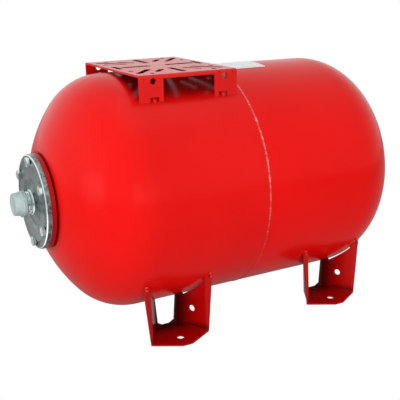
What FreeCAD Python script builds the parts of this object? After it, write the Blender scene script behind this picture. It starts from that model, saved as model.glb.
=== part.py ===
# Horizontal expansion vessel of about 50 litres: a welded steel tank on four pressed feet, with a
# pump platform on top, a flanged water connection in front and an air valve behind.
# Millimetres. X runs along the tank, front (water side) at -X. Z is up, the floor is Z = 0, and
# the origin is the centre of the four floor holes.
import FreeCAD, Part
import math
import os
import re
import Sketcher
from FreeCAD import Placement, Rotation, Vector

doc = FreeCAD.newDocument("expansion_vessel")

# ---------------------------------------------------------------------------- driving dimensions
SIZES = {
    # tank
    "tank_radius": 180.0,
    "tank_wall": 1.5,
    "tank_half_straight": 178.2,
    "head_crown_radius": 230.0,
    "head_knuckle_radius": 88.0,
    "tank_clearance": 22.0,
    "seat_gap": 0.1,
    "tank_shift": -3.5,
    "girth_shift": -3.0,
    "girth_gap": 1.0,
    "girth_bead_width": 3.4,
    "girth_bead_height": 0.7,
    # water flange
    "neck_seat_radius": 74.0,
    "neck_bore_radius": 48.2,
    "neck_collar_short": 0.6,
    "ring_radius": 71.0,
    "ring_gap": 3.1,
    "ring_play": 0.2,
    "ring_thickness": 6.3,
    "flange_sheet": 3.0,
    "flange_rim_round": 4.5,
    "trough_depth": 2.6,
    "trough_inset": 8.8,
    "bolt_circle_radius": 60.6,
    "bolt_count": 6,
    "bolt_radius": 4.0,
    "bolt_play": 0.5,
    "bolt_head_flats": 13.0,
    "bolt_head_height": 5.3,
    "bolt_end_gap": 0.7,
    "dimple_circle_radius": 57.0,
    "dimple_radius": 1.6,
    "dimple_depth": 0.6,
    # water nipple, its collar and cap
    "nipple_radius": 16.62,
    "nipple_bore_radius": 13.7,
    "nipple_reach": 19.3,
    "nipple_inside": 4.0,
    "thread_pitch": 2.309,
    "thread_depth": 1.2,
    "thread_length": 15.0,
    "thread_groove_width": 2.08,
    "thread_lead_in": 0.58,
    "collar_radius": 19.4,
    "collar_height": 6.2,
    "cap_reach": 28.8,
    "cap_length": 17.4,
    "cap_mouth_radius": 18.9,
    "cap_end_radius": 16.6,
    "cap_wall": 1.6,
    "cap_play": 0.3,
    "cap_round": 1.2,
    # rubber bladder
    "bladder_wall": 2.0,
    "bladder_lip": 4.7,
    "bladder_lip_width": 7.0,
    "bladder_neck_play": 0.4,
    "bladder_seat_gap": 0.3,
    "bladder_neck_length": 26.0,
    "bladder_radius": 118.0,
    "bladder_reach": 455.0,
    "bladder_shoulder": 70.0,
    # pump platform
    "platform_middle": 93.0,
    "platform_length": 158.0,
    "platform_half_width": 103.2,
    "platform_rise": 6.1,
    "platform_sheet": 3.0,
    "platform_bend": 4.0,
    "leg_width": 37.5,
    "apron_depth": 6.0,
    "leg_hole_radius": 4.5,
    "leg_hole_drop": 9.0,
    "leg_hole_from_edge": 21.5,
    "notch_width": 14.0,
    "notch_height": 7.0,
    "notch_from_edge": 23.5,
    "gusset_width": 7.0,
    "gusset_height": 5.5,
    "gusset_depth": 1.1,
    "gusset_spread": 11.0,
    "spot_radius": 5.4,
    "spot_stand": 2.2,
    # slots in the platform top: long ones along X and Y, and diagonals in the corners
    "slot_x_start": 12.0,
    "slot_x_end": 60.0,
    "slot_x_width": 11.0,
    "slot_y_start": 37.0,
    "slot_y_end": 90.0,
    "slot_y_width": 9.0,
    "slot_end_x": 67.5,
    "slot_end_reach": 17.0,
    "slot_end_width": 8.0,
    "slot_main_x1": 34.0,
    "slot_main_y1": 40.0,
    "slot_main_x2": 69.0,
    "slot_main_y2": 80.0,
    "slot_main_width": 9.0,
    "slot_small_x1": 16.0,
    "slot_small_y1": 49.0,
    "slot_small_x2": 37.0,
    "slot_small_y2": 73.0,
    "slot_small_width": 8.0,
    "dot_radius": 4.0,
    "dot_a_x": 66.0,
    "dot_a_y": 48.0,
    "dot_b_x": 50.0,
    "dot_b_y": 86.0,
    # feet
    "foot_spacing": 282.0,
    "foot_sheet": 2.5,
    "foot_back_x": 18.0,
    "foot_depth": 52.0,
    "foot_wall_x": 46.0,
    "foot_inset": 34.0,
    "foot_tip_x": 8.0,
    "foot_toe": 23.0,
    "foot_flare": 4.5,
    "foot_front_lean": 4.5,
    "foot_lip_low": 2.2,
    "foot_lip_high": 9.5,
    "foot_fold_radius": 9.0,
    "foot_lip_fold_radius": 4.0,
    "foot_overrun": 10.0,
    "foot_hole_setback": 1.5,
    "foot_hole_radius": 5.5,
    "side_hole_run": 30.4,
    "side_hole_height": 32.0,
    "side_hole_radius": 5.0,
    "window_sill": 3.0,
    "window_margin": 4.0,
    "window_chamfer_width": 8.0,
    "window_chamfer_height": 4.5,
    "window_spread": 0.082,
    "slit_width": 4.0,
    "slit_near_setback": 8.4,
    "slit_far_setback": 11.0,
    # label
    "label_thickness": 0.3,
    "label_gap": 0.3,
    "label_start_x": 2.0,
    "label_length": 78.0,
    "label_half_width": 38.0,
    # air valve
    "valve_hole_radius": 7.0,
    "boss_radius": 10.0,
    "boss_height": 6.0,
    "boss_play": 0.1,
    "stem_flange_radius": 6.5,
    "stem_flange_height": 2.5,
    "stem_radius": 3.85,
    "stem_height": 17.0,
    "stem_bore_radius": 2.65,
    "stem_inside": 5.0,
    "core_radius": 2.6,
    "core_drop": 1.6,
    "core_length": 13.0,
    "core_cavity_radius": 2.0,
    "core_floor": 1.5,
    "core_roof": 3.5,
    "pin_radius": 0.75,
    "pin_play": 0.08,
    "pin_drop": 0.5,
    "pin_collar_radius": 1.7,
    "pin_collar_height": 1.0,
    "pin_disc_radius": 2.2,
    "pin_disc_height": 1.4,
    "pin_disc_gap": 0.05,
    "spring_wire_radius": 0.22,
    "spring_coil_radius": 1.3,
    "spring_turns": 5,
    "spring_end_play": 0.04,
    "cap_nut_radius": 4.9,
    "cap_nut_length": 14.5,
    "cap_nut_top": 1.6,
    "cap_nut_play": 0.25,
    "cap_nut_gap": 0.3,
    "seal_thickness": 0.9,
    "cover_radius": 16.0,
    "cover_length": 41.0,
    "cover_wall": 1.8,
    "cover_grip": 4.0,
    "cover_play": 0.3,
    "cover_round": 3.0,
}

# Sizes that follow from the ones above, as formulas of the same sheet.
FOLLOWING = {
    # torispherical head: a knuckle arc and a crown arc, tangent to the cylinder and to each other
    "head_sink": "sqrt((head_crown_radius - head_knuckle_radius)^2 - (tank_radius - head_knuckle_radius)^2)",
    "crown_centre": "tank_half_straight - head_sink",
    "head_share": "head_crown_radius / (head_crown_radius - head_knuckle_radius)",
    "head_share_in": "(head_crown_radius - tank_wall) / (head_crown_radius - head_knuckle_radius)",
    "tangent_x": "crown_centre + head_share * head_sink",
    "tangent_r": "head_share * (tank_radius - head_knuckle_radius)",
    "tangent_x_in": "crown_centre + head_share_in * head_sink",
    "tangent_r_in": "head_share_in * (tank_radius - head_knuckle_radius)",
    "tank_radius_in": "tank_radius - tank_wall",
    "knuckle_in": "head_knuckle_radius - tank_wall",
    "crown_in": "head_crown_radius - tank_wall",
    "tank_axis_height": "tank_radius + tank_clearance",
    # front stack, outward from the middle of the tank
    "seat_x": "crown_centre + sqrt(head_crown_radius^2 - neck_seat_radius^2)",
    "seat_radius_in": "neck_seat_radius - tank_wall",
    "seat_x_in": "crown_centre + sqrt(crown_in^2 - seat_radius_in^2)",
    "seat_flat_in": "seat_x - tank_wall",
    "neck_radius": "neck_bore_radius + tank_wall",
    "ring_back": "seat_x + ring_gap",
    "ring_front": "ring_back + ring_thickness",
    "neck_end": "ring_front - neck_collar_short",
    "flange_back": "ring_front + bladder_lip",
    "flange_face": "flange_back + flange_sheet",
    "rim_inside": "ring_radius - flange_sheet",
    "bladder_neck": "neck_bore_radius - bladder_neck_play",
    "trough_outer_radius": "bladder_neck - trough_inset",
    "trough_floor_radius": "trough_outer_radius - trough_depth",
    "trough_face": "flange_face - trough_depth",
    "trough_back": "trough_face - flange_sheet",
    "nipple_end": "flange_face + nipple_reach",
    "nipple_start": "trough_back - nipple_inside",
    "cap_end": "flange_face + cap_reach",
    "cap_mouth": "cap_end - cap_length",
    "cap_hollow": "nipple_radius + cap_play",
    "bladder_neck_in": "bladder_neck - bladder_wall",
    "bladder_lip_edge": "bladder_neck + bladder_lip_width",
    "bladder_neck_end": "flange_back - bladder_neck_length",
    "bladder_back": "flange_back - bladder_reach",
    "bladder_radius_in": "bladder_radius - bladder_wall",
    "bladder_shoulder_x": "bladder_neck_end - bladder_shoulder",
    "bladder_dome_x": "bladder_back + bladder_radius",
    # platform
    "platform_top": "tank_radius + platform_rise",
    "platform_half_length": "platform_length / 2",
    "leg_inner_x": "platform_half_length - leg_width",
    "leg_foot_z": "sqrt(tank_radius^2 - platform_half_width^2)",
    "spot_x": "platform_half_length - notch_from_edge",
    # feet, as distances from the tank's axis and from the foot's own middle
    "floor_z": "-tank_axis_height",
    "foot_front_y": "tank_radius - foot_inset",
    "foot_back_y": "foot_front_y - foot_depth",
    "foot_tip_y": "foot_front_y + foot_toe",
    "foot_hole_y": "foot_front_y - foot_hole_setback",
    "slit_near_y": "foot_front_y - slit_near_setback",
    "slit_far_y": "foot_back_y + slit_far_setback",
    "foot_half_spacing": "foot_spacing / 2",
    "foot_slope": "(foot_wall_x - foot_back_x) / (foot_front_y - foot_sheet - foot_back_y)",
    "foot_slope_length": "sqrt(1 + foot_slope^2)",
    "foot_miter": "foot_slope_length - foot_slope",
    "foot_top_z": "-sqrt(tank_radius^2 - foot_front_y^2) + foot_overrun",
    "foot_fold_inside": "foot_fold_radius - foot_sheet",
    "foot_back_x_high": "foot_back_x + foot_flare * foot_miter",
    "foot_back_y_high": "foot_back_y - foot_flare",
    "foot_front_y_high": "foot_front_y - foot_front_lean",
    "foot_lip_x": "foot_wall_x + foot_lip_low",
    "slit_radius": "tank_radius + slit_width",
    "window_half": "foot_back_x - window_margin",
    # label
    "label_radius_in": "tank_radius + label_gap",
    "label_radius": "label_radius_in + label_thickness",
    # air valve, outward from the middle of the tank
    "valve_seat": "crown_centre + sqrt(head_crown_radius^2 - valve_hole_radius^2)",
    "boss_end": "valve_seat + boss_height",
    "stem_shoulder": "boss_end + stem_flange_height",
    "stem_end": "stem_shoulder + stem_height",
    "core_end": "stem_end - core_drop",
    "core_start": "core_end - core_length",
    "core_cavity_start": "core_start + core_floor",
    "core_cavity_end": "core_end - core_roof",
    "pin_hole_radius": "pin_radius + pin_play",
    "pin_end": "stem_end - pin_drop",
    "pin_disc_end": "core_start - pin_disc_gap",
    "pin_disc_start": "pin_disc_end - pin_disc_height",
    "pin_collar_end": "core_cavity_end - pin_disc_gap",
    "pin_collar_start": "pin_collar_end - pin_collar_height",
    "spring_length": "pin_collar_start - core_cavity_start",
    "cap_nut_bore": "stem_radius + cap_nut_play",
    "seal_start": "stem_end + cap_nut_gap",
    "seal_end": "seal_start + seal_thickness",
    "cap_nut_end": "seal_end + cap_nut_top",
    "cap_nut_start": "cap_nut_end - cap_nut_length",
    "cover_start": "valve_seat + boss_play",
    "cover_end": "cover_start + cover_length",
    "cover_bore": "boss_radius + cover_play",
}

# ---------------------------------------------------------------------------- the sheet
sheet = doc.addObject("Spreadsheet::Sheet", "Sizes")


def fill_sheet():
    """Write every size to its own named cell, the driving ones as plain numbers."""
    row = 0
    for name, value in SIZES.items():
        row += 1
        sheet.set(f"A{row}", name)
        sheet.set(f"B{row}", str(value))
        sheet.setAlias(f"B{row}", name)
    for name, formula in FOLLOWING.items():
        row += 1
        sheet.set(f"A{row}", name)
        sheet.set(f"B{row}", f"={formula}")
        sheet.setAlias(f"B{row}", name)
    doc.recompute()


fill_sheet()
NAMES = re.compile(r"\b(" + "|".join(sorted(list(SIZES) + list(FOLLOWING), key=len, reverse=True)) + r")\b")


def linked(formula):
    """The formula with each size named as the sheet's cell, for use by another object."""
    return NAMES.sub(r"Sizes.\1", formula)


def number(formula):
    """The present value of a formula of sizes."""
    return float(sheet.evalExpression(formula))


def bind(obj, path, formula):
    """Drive one property of an object by a formula of sizes."""
    obj.setExpression(path, linked(formula))


# ---------------------------------------------------------------------------- modelling helpers
def new_body(label, place=("tank_shift", "0", "tank_axis_height")):
    """A body for one sub-part, placed by three formulas."""
    body = doc.addObject("PartDesign::Body", label)
    body.Label = label
    for axis, formula in zip("xyz", place):
        bind(body, f"Placement.Base.{axis}", formula)
    return body


def origin_feature(body, role):
    """One of the body's own origin planes or axes."""
    return next(item for item in body.Origin.OriginFeatures if item.Role == role)


def new_sketch(body, plane, name, shift="0"):
    """A sketch on an origin plane of the body, moved along the plane's normal."""
    sketch = body.newObject("Sketcher::SketchObject", f"{body.Name}_{name}")
    sketch.AttachmentSupport = [(origin_feature(body, plane), "")]
    sketch.MapMode = "FlatFace"
    bind(sketch, "AttachmentOffset.Base.z", shift)
    return sketch


def pinned(geometry, point, x, y):
    """Constraints that fix a point at formulas x and y, each with the formula that drives it."""
    made = []
    for kind, axis, formula in (("DistanceX", -2, x), ("DistanceY", -1, y)):
        if formula == "0":
            made.append((Sketcher.Constraint("PointOnObject", geometry, point, axis), None))
        else:
            made.append((Sketcher.Constraint(kind, -1, 1, geometry, point, number(formula)), formula))
    return made


def constrain(sketch, made):
    """Add constraints in one go and bind those that have a formula."""
    first = sketch.ConstraintCount
    sketch.addConstraint([constraint for constraint, formula in made])
    for index, (constraint, formula) in enumerate(made):
        if formula:
            bind(sketch, f"Constraints[{first + index}]", formula)


def arc_between(start, end, radius, side):
    """The short arc from start to end, its centre on the left (side 1) or the right (-1)."""
    chord = end - start
    half = chord.Length / 2
    rise = math.sqrt(max(radius * radius - half * half, 0.0))
    left = Vector(-chord.y, chord.x, 0).normalize()
    centre = start + chord * 0.5 + left * (rise * side)
    begin, finish = (start, end) if side > 0 else (end, start)
    from_angle = math.atan2(begin.y - centre.y, begin.x - centre.x)
    to_angle = math.atan2(finish.y - centre.y, finish.x - centre.x)
    return Part.ArcOfCircle(Part.Circle(centre, Vector(0, 0, 1), radius), from_angle, to_angle)


def outline(sketch, corners):
    """A closed outline. Each corner is (x, y) after a straight side, or (x, y, radius, side)
    after an arc that bends around a centre on its left (1) or its right (-1)."""
    points = [Vector(number(corner[0]), number(corner[1]), 0) for corner in corners]
    first = sketch.GeometryCount
    count = len(corners)
    sides = []
    ends = []
    for index, start in enumerate(points):
        corner = corners[(index + 1) % count]
        end = points[(index + 1) % count]
        if len(corner) == 2:
            sides.append(Part.LineSegment(start, end))
        else:
            sides.append(arc_between(start, end, number(corner[2]), corner[3]))
        turned_back = len(corner) > 2 and corner[3] < 0
        ends.append((2, 1) if turned_back else (1, 2))
    sketch.addGeometry(sides)
    made = []
    for index, corner in enumerate(corners):
        after = (index + 1) % count
        before = first + (index - 1) % count
        made.append((Sketcher.Constraint("Coincident", first + index, ends[index][1],
                                         first + after, ends[after][0]), None))
        made += pinned(first + index, ends[index][0], corner[0], corner[1])
        if len(corner) > 2:
            made.append((Sketcher.Constraint("Radius", before, number(corner[2])), corner[2]))
    constrain(sketch, made)


def circle(sketch, x, y, radius):
    """A circle at formulas x and y."""
    centre = Vector(number(x), number(y), 0)
    index = sketch.addGeometry(Part.Circle(centre, Vector(0, 0, 1), number(radius)))
    size = Sketcher.Constraint("Radius", index, number(radius))
    constrain(sketch, pinned(index, 3, x, y) + [(size, radius)])


def slot(sketch, x1, y1, x2, y2, width):
    """A round-ended slot whose ends reach the two given points along its middle line."""
    run_x = f"(({x2}) - ({x1}))"
    run_y = f"(({y2}) - ({y1}))"
    length = f"sqrt({run_x}^2 + {run_y}^2)"
    half = f"({width}) / 2"
    along_x = f"{run_x} / {length} * {half}"
    along_y = f"{run_y} / {length} * {half}"
    start = (f"({x1}) + {along_x}", f"({y1}) + {along_y}")
    end = (f"({x2}) - {along_x}", f"({y2}) - {along_y}")
    side_x = f"{run_y} / {length} * {half}"
    side_y = f"{run_x} / {length} * {half}"
    corners = [(f"{start[0]} + {side_x}", f"{start[1]} - {side_y}"),
               (f"{end[0]} + {side_x}", f"{end[1]} - {side_y}"),
               (x2, y2, half, 1),
               (f"{end[0]} - {side_x}", f"{end[1]} + {side_y}", half, 1),
               (f"{start[0]} - {side_x}", f"{start[1]} + {side_y}"),
               (x1, y1, half, 1)]
    corners[0] = corners[0] + (half, 1)
    outline(sketch, corners)


def feature(body, kind, name, **settings):
    """A PartDesign feature of the body, which becomes its tip."""
    item = body.newObject(f"PartDesign::{kind}", f"{body.Name}_{name}")
    for key, value in settings.items():
        setattr(item, key, value)
    body.Tip = item
    return item


def revolve(body, sketch, name="turned"):
    """Turn a sketch about the body's X axis."""
    return feature(body, "Revolution", name, Profile=sketch, Angle=360.0,
                   ReferenceAxis=(origin_feature(body, "X_Axis"), [""]))


def pad(body, sketch, length, name, kind="Pad", symmetric=False, reverse=False):
    """Pad or pocket a sketch by a formula, from one side or symmetrically."""
    item = feature(body, kind, name, Profile=sketch, Reversed=reverse)
    item.SideType = "Symmetric" if symmetric else "One side"
    bind(item, "Length", length)
    return item


def pocket_through(body, sketch, name):
    """Cut a sketch through everything on both sides of its plane."""
    return feature(body, "Pocket", name, Profile=sketch, Type="ThroughAll", Midplane=True)


def mirrored(body, originals, plane, name):
    """Repeat features on the other side of an origin plane."""
    return feature(body, "Mirrored", name, Originals=originals,
                   MirrorPlane=(origin_feature(body, plane), [""]))


def in_four_quarters(body, originals, name):
    """Repeat features mirrored in X, in Y and in both."""
    both = body.newObject("PartDesign::MultiTransform", f"{body.Name}_{name}")
    both.Originals = originals
    body.Tip = both
    mirrors = []
    for plane in ("YZ_Plane", "XZ_Plane"):
        mirror = doc.addObject("PartDesign::Mirrored", f"{body.Name}_{name}_{plane}")
        mirror.MirrorPlane = (origin_feature(body, plane), [""])
        body.addObject(mirror)
        mirrors.append(mirror)
    both.Transformations = mirrors
    body.Tip = both
    return both


def rounded(body, base, radius, name, wanted):
    """Round the upright edges of a feature whose lower end passes the test."""
    doc.recompute()
    picked = []
    for index, edge in enumerate(base.Shape.Edges):
        ends = sorted((vertex.Point for vertex in edge.Vertexes), key=lambda point: point.z)
        if len(ends) == 2 and ends[1].z - ends[0].z > 1 and wanted(ends[0]):
            picked.append(f"Edge{index + 1}")
    item = feature(body, "Fillet", name, Base=(base, picked))
    bind(item, "Radius", radius)
    return item


def around_axis(body, originals, count, name):
    """Repeat features evenly around the body's X axis."""
    item = feature(body, "PolarPattern", name, Originals=originals, Angle=360.0,
                   Axis=(origin_feature(body, "X_Axis"), [""]))
    bind(item, "Occurrences", count)
    return item


def turned_part(label, corners, place=("tank_shift", "0", "tank_axis_height")):
    """A body turned about the tank's axis from one outline of (distance along X, radius)."""
    body = new_body(label, place)
    sketch = new_sketch(body, "XZ_Plane", "section")
    outline(sketch, corners)
    revolve(body, sketch)
    return body


def minus(formula):
    """The formula with its sign turned."""
    return f"-({formula})"


def at_front(corners):
    """Corners given as distances from the middle of the tank, turned to the front (-X)."""
    turned = []
    for corner in corners:
        arc = (corner[2], -corner[3]) if len(corner) > 2 else ()
        turned.append((minus(corner[0]), corner[1]) + arc)
    return turned


# ---------------------------------------------------------------------------- tank
def build_shells():
    """Two drawn half shells. The front one has a flat seat and a short collar for the neck ring,
    the rear one a hole for the valve boss."""
    gap = "girth_gap / 2"
    front = [(f"-(girth_shift) + {gap}", "tank_radius"),
             ("tank_half_straight", "tank_radius"),
             ("tangent_x", "tangent_r", "head_knuckle_radius", -1),
             ("seat_x", "neck_seat_radius", "head_crown_radius", -1),
             ("seat_x", "neck_radius"),
             ("neck_end", "neck_radius"),
             ("neck_end", "neck_bore_radius"),
             ("seat_flat_in", "neck_bore_radius"),
             ("seat_flat_in", "seat_radius_in"),
             ("seat_x_in", "seat_radius_in"),
             ("tangent_x_in", "tangent_r_in", "crown_in", 1),
             ("tank_half_straight", "tank_radius_in", "knuckle_in", 1),
             (f"-(girth_shift) + {gap}", "tank_radius_in")]
    turned_part("shell_front", at_front(front))
    hole_x = "crown_centre + sqrt(head_crown_radius^2 - valve_hole_radius^2)"
    hole_x_in = "crown_centre + sqrt(crown_in^2 - valve_hole_radius^2)"
    rear = [(f"girth_shift + {gap}", "tank_radius"),
            ("tank_half_straight", "tank_radius"),
            ("tangent_x", "tangent_r", "head_knuckle_radius", -1),
            (hole_x, "valve_hole_radius", "head_crown_radius", -1),
            (hole_x_in, "valve_hole_radius"),
            ("tangent_x_in", "tangent_r_in", "crown_in", 1),
            ("tank_half_straight", "tank_radius_in", "knuckle_in", 1),
            (f"girth_shift + {gap}", "tank_radius_in")]
    turned_part("shell_rear", rear)
    middle = "girth_shift"
    weld = [(f"{middle} - {gap}", "tank_radius_in"),
            (f"{middle} + {gap}", "tank_radius_in"),
            (f"{middle} + {gap}", "tank_radius"),
            (f"{middle} + girth_bead_width / 2", "tank_radius"),
            (f"{middle} + girth_bead_width / 4", "tank_radius + girth_bead_height"),
            (f"{middle} - girth_bead_width / 4", "tank_radius + girth_bead_height"),
            (f"{middle} - girth_bead_width / 2", "tank_radius"),
            (f"{middle} - {gap}", "tank_radius")]
    turned_part("girth_weld", weld)


# ---------------------------------------------------------------------------- water flange
def build_flange():
    """The neck ring, the pressed flange plate, the hub collar, the nipple and the screws."""
    ring = turned_part("neck_ring", at_front([("ring_back", "neck_radius + ring_play"),
                                              ("ring_front", "neck_radius + ring_play"),
                                              ("ring_front", "ring_radius"),
                                              ("ring_back", "ring_radius")]))
    holes = new_sketch(ring, "YZ_Plane", "tapped_hole", minus("ring_front"))
    circle(holes, "0", "bolt_circle_radius", "bolt_radius")
    tapped = pad(ring, holes, "ring_thickness", "tapped", "Pocket", reverse=True)
    around_axis(ring, [tapped], "bolt_count", "tapped_circle")

    slope = "flange_sheet / 2"
    plate = at_front([("trough_face", "nipple_radius + boss_play"),
                      ("trough_face", "trough_floor_radius"),
                      ("flange_face", "trough_outer_radius"),
                      ("flange_face", "ring_radius - flange_rim_round"),
                      ("flange_face - flange_rim_round", "ring_radius", "flange_rim_round", 1),
                      ("ring_front", "ring_radius"),
                      ("ring_front", "rim_inside"),
                      ("flange_back", "rim_inside"),
                      ("flange_back", f"trough_outer_radius + {slope}"),
                      ("trough_back", f"trough_floor_radius + {slope}"),
                      ("trough_back", "nipple_radius + boss_play")])
    flange = turned_part("flange_plate", plate)
    hole = new_sketch(flange, "YZ_Plane", "screw_hole", minus("flange_face"))
    circle(hole, "0", "bolt_circle_radius", "bolt_radius + bolt_play")
    cut = pad(flange, hole, "flange_sheet", "screw_hole_cut", "Pocket", reverse=True)
    around_axis(flange, [cut], "bolt_count", "screw_circle")
    dimple = new_sketch(flange, "YZ_Plane", "dimple", minus("flange_face"))
    circle(dimple, "dimple_circle_radius * sin(180 deg / bolt_count)",
           "dimple_circle_radius * cos(180 deg / bolt_count)", "dimple_radius")
    press = pad(flange, dimple, "dimple_depth", "dimple_press", "Pocket", reverse=True)
    around_axis(flange, [press], "bolt_count", "dimple_ring")

    turned_part("hub_collar", at_front([("trough_face", "nipple_radius + boss_play"),
                                        ("trough_face + collar_height", "nipple_radius + boss_play"),
                                        ("trough_face + collar_height", "collar_radius"),
                                        ("trough_face", "collar_radius")]))

    nipple = turned_part("water_nipple", at_front([("nipple_start", "nipple_bore_radius"),
                                                   ("nipple_end", "nipple_bore_radius"),
                                                   ("nipple_end", "nipple_radius"),
                                                   ("nipple_start", "nipple_radius")]))
    groove_sketch = new_sketch(nipple, "XZ_Plane", "thread_groove")
    mouth = "nipple_end - thread_lead_in"
    outline(groove_sketch, at_front([(mouth, "nipple_radius + boss_play"),
                                     (f"{mouth} - thread_groove_width / 2", "nipple_radius - thread_depth"),
                                     (f"{mouth} - thread_groove_width", "nipple_radius + boss_play")]))
    groove = feature(nipple, "Groove", "thread_cut", Profile=groove_sketch, Angle=360.0,
                     ReferenceAxis=(origin_feature(nipple, "X_Axis"), [""]))
    thread = feature(nipple, "LinearPattern", "thread", Originals=[groove],
                     Direction=(origin_feature(nipple, "X_Axis"), [""]))
    bind(thread, "Occurrences", "round(thread_length / thread_pitch)")
    bind(thread, "Length", "(round(thread_length / thread_pitch) - 1) * thread_pitch")

    build_ring_of_screws()


def build_ring_of_screws():
    """The hexagon screws: head and shank fused, repeated around the flange and kept as one group."""
    screws = []
    count = int(number("bolt_count"))
    for index in range(count):
        head = doc.addObject("Part::Prism", f"screw_head_{index}")
        head.Polygon = 6
        bind(head, "Circumradius", "bolt_head_flats / sqrt(3)")
        bind(head, "Height", "bolt_head_height")
        bind(head, "Placement.Base.x", minus("bolt_head_height"))
        shank = doc.addObject("Part::Cylinder", f"screw_shank_{index}")
        bind(shank, "Radius", "bolt_radius - boss_play / 2")
        bind(shank, "Height", "flange_face - seat_x - bolt_end_gap")
        for item in (head, shank):
            item.Placement.Rotation = Rotation(Vector(0, 1, 0), 90)
        screw = doc.addObject("Part::MultiFuse", f"screw_{index}")
        screw.Shapes = [head, shank]
        turn = f"360 * {index} / bolt_count"
        screw.Placement.Rotation = Rotation(Vector(1, 0, 0), number(turn))
        bind(screw, "Placement.Base.x", minus("flange_face"))
        bind(screw, "Placement.Base.y", f"-bolt_circle_radius * sin({turn} * 1 deg)")
        bind(screw, "Placement.Base.z", f"bolt_circle_radius * cos({turn} * 1 deg)")
        screws.append(screw)
    group = doc.addObject("Part::Compound", "flange_screws")
    group.Label = "flange_screws"
    group.Links = screws
    bind(group, "Placement.Base.x", "tank_shift")
    bind(group, "Placement.Base.z", "tank_axis_height")


def build_thread_cap():
    """The thin tapered plastic cap that protects the thread in transit."""
    hollow_end = "nipple_end + cap_play"
    tip_in = "cap_end_radius - cap_wall"
    cap = [("cap_mouth", "cap_hollow"),
           (hollow_end, "cap_hollow"),
           ("cap_end - cap_wall", tip_in),
           ("cap_end - cap_wall", "0"),
           ("cap_end", "0"),
           ("cap_end", "cap_end_radius - cap_round"),
           ("cap_end - cap_round", "cap_end_radius", "cap_round", 1),
           ("cap_mouth", "cap_mouth_radius")]
    turned_part("thread_cap", at_front(cap))


def build_bladder():
    """The rubber bladder: lip, neck, shoulder, straight part and domed end, open at the neck."""
    dome_in = "bladder_radius_in"
    corners = [("flange_back", "bladder_neck"),
               ("flange_back", "bladder_lip_edge"),
               ("ring_front", "bladder_lip_edge"),
               ("ring_front", "bladder_neck"),
               ("bladder_neck_end", "bladder_neck"),
               ("bladder_shoulder_x", "bladder_radius"),
               ("bladder_dome_x", "bladder_radius"),
               ("bladder_back", "0", "bladder_radius", 1),
               ("bladder_back + bladder_wall", "0"),
               ("bladder_dome_x", dome_in, dome_in, -1),
               ("bladder_shoulder_x", dome_in),
               ("bladder_neck_end", "bladder_neck_in"),
               ("flange_back - bladder_wall - bladder_seat_gap", "bladder_neck_in")]
    turned_part("bladder", at_front(corners))


# ---------------------------------------------------------------------------- pump platform
def build_platform():
    """A sheet bent to a channel, its sides cut away to four legs, its top full of slots."""
    body = new_body("pump_platform", ("tank_shift - platform_middle", "0", "tank_axis_height"))
    section = new_sketch(body, "YZ_Plane", "section")
    inner = "(platform_half_width - platform_sheet)"
    under = "(platform_top - platform_sheet)"
    bend_in = "(platform_bend - platform_sheet)"
    outline(section, [("-platform_half_width", "leg_foot_z - notch_height / 2"),
                      (f"-{inner}", "leg_foot_z - notch_height / 2"),
                      (f"-{inner}", f"{under} - {bend_in}"),
                      (f"-({inner} - {bend_in})", under, bend_in, -1),
                      (f"{inner} - {bend_in}", under),
                      (inner, f"{under} - {bend_in}", bend_in, -1),
                      (inner, "leg_foot_z - notch_height / 2"),
                      ("platform_half_width", "leg_foot_z - notch_height / 2"),
                      ("platform_half_width", "platform_top - platform_bend"),
                      ("platform_half_width - platform_bend", "platform_top", "platform_bend", 1),
                      ("-(platform_half_width - platform_bend)", "platform_top"),
                      ("-platform_half_width", "platform_top - platform_bend", "platform_bend", 1)])
    pad(body, section, "platform_length", "channel", symmetric=True)

    sides = new_sketch(body, "XZ_Plane", "side_cuts")
    outline(sides, [("-leg_inner_x", "0"), ("leg_inner_x", "0"),
                    ("leg_inner_x", "platform_top - apron_depth"),
                    ("-leg_inner_x", "platform_top - apron_depth")])
    hole_x = "(platform_half_length - leg_hole_from_edge)"
    for sign in ("", "-"):
        circle(sides, f"{sign}{hole_x}", "platform_top - leg_hole_drop", "leg_hole_radius")
        half = "notch_width / 2"
        top = "leg_foot_z + notch_height"
        outline(sides, [(f"{sign}spot_x - {half}", "leg_foot_z - notch_height"),
                        (f"{sign}spot_x + {half}", "leg_foot_z - notch_height"),
                        (f"{sign}spot_x + {half}", top), (f"{sign}spot_x - {half}", top)])
    pocket_through(body, sides, "side_cut")

    seat = new_sketch(body, "YZ_Plane", "tank_seat")
    circle(seat, "0", "0", "tank_radius + seat_gap")
    pocket_through(body, seat, "seat_cut")

    top = new_sketch(body, "XY_Plane", "slots")
    draw_slots(top)
    in_four_quarters(body, [pocket_through(body, top, "slot_cut")], "slot_quarters")

    gussets = new_sketch(body, "XZ_Plane", "gussets", "platform_half_width")
    leg_middle = "(platform_half_length - leg_width / 2)"
    for sign in ("", "-"):
        for side in ("+", "-"):
            middle = f"{sign}{leg_middle} {side} gusset_spread"
            outline(gussets, [(f"{middle} - gusset_width / 2", "platform_top + gusset_depth"),
                              (middle, "platform_top - gusset_height"),
                              (f"{middle} + gusset_width / 2", "platform_top + gusset_depth")])
    near = pad(body, gussets, "gusset_depth", "gusset_cut", "Pocket")
    mirrored(body, [near], "XZ_Plane", "gusset_far")

    build_platform_welds()


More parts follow.
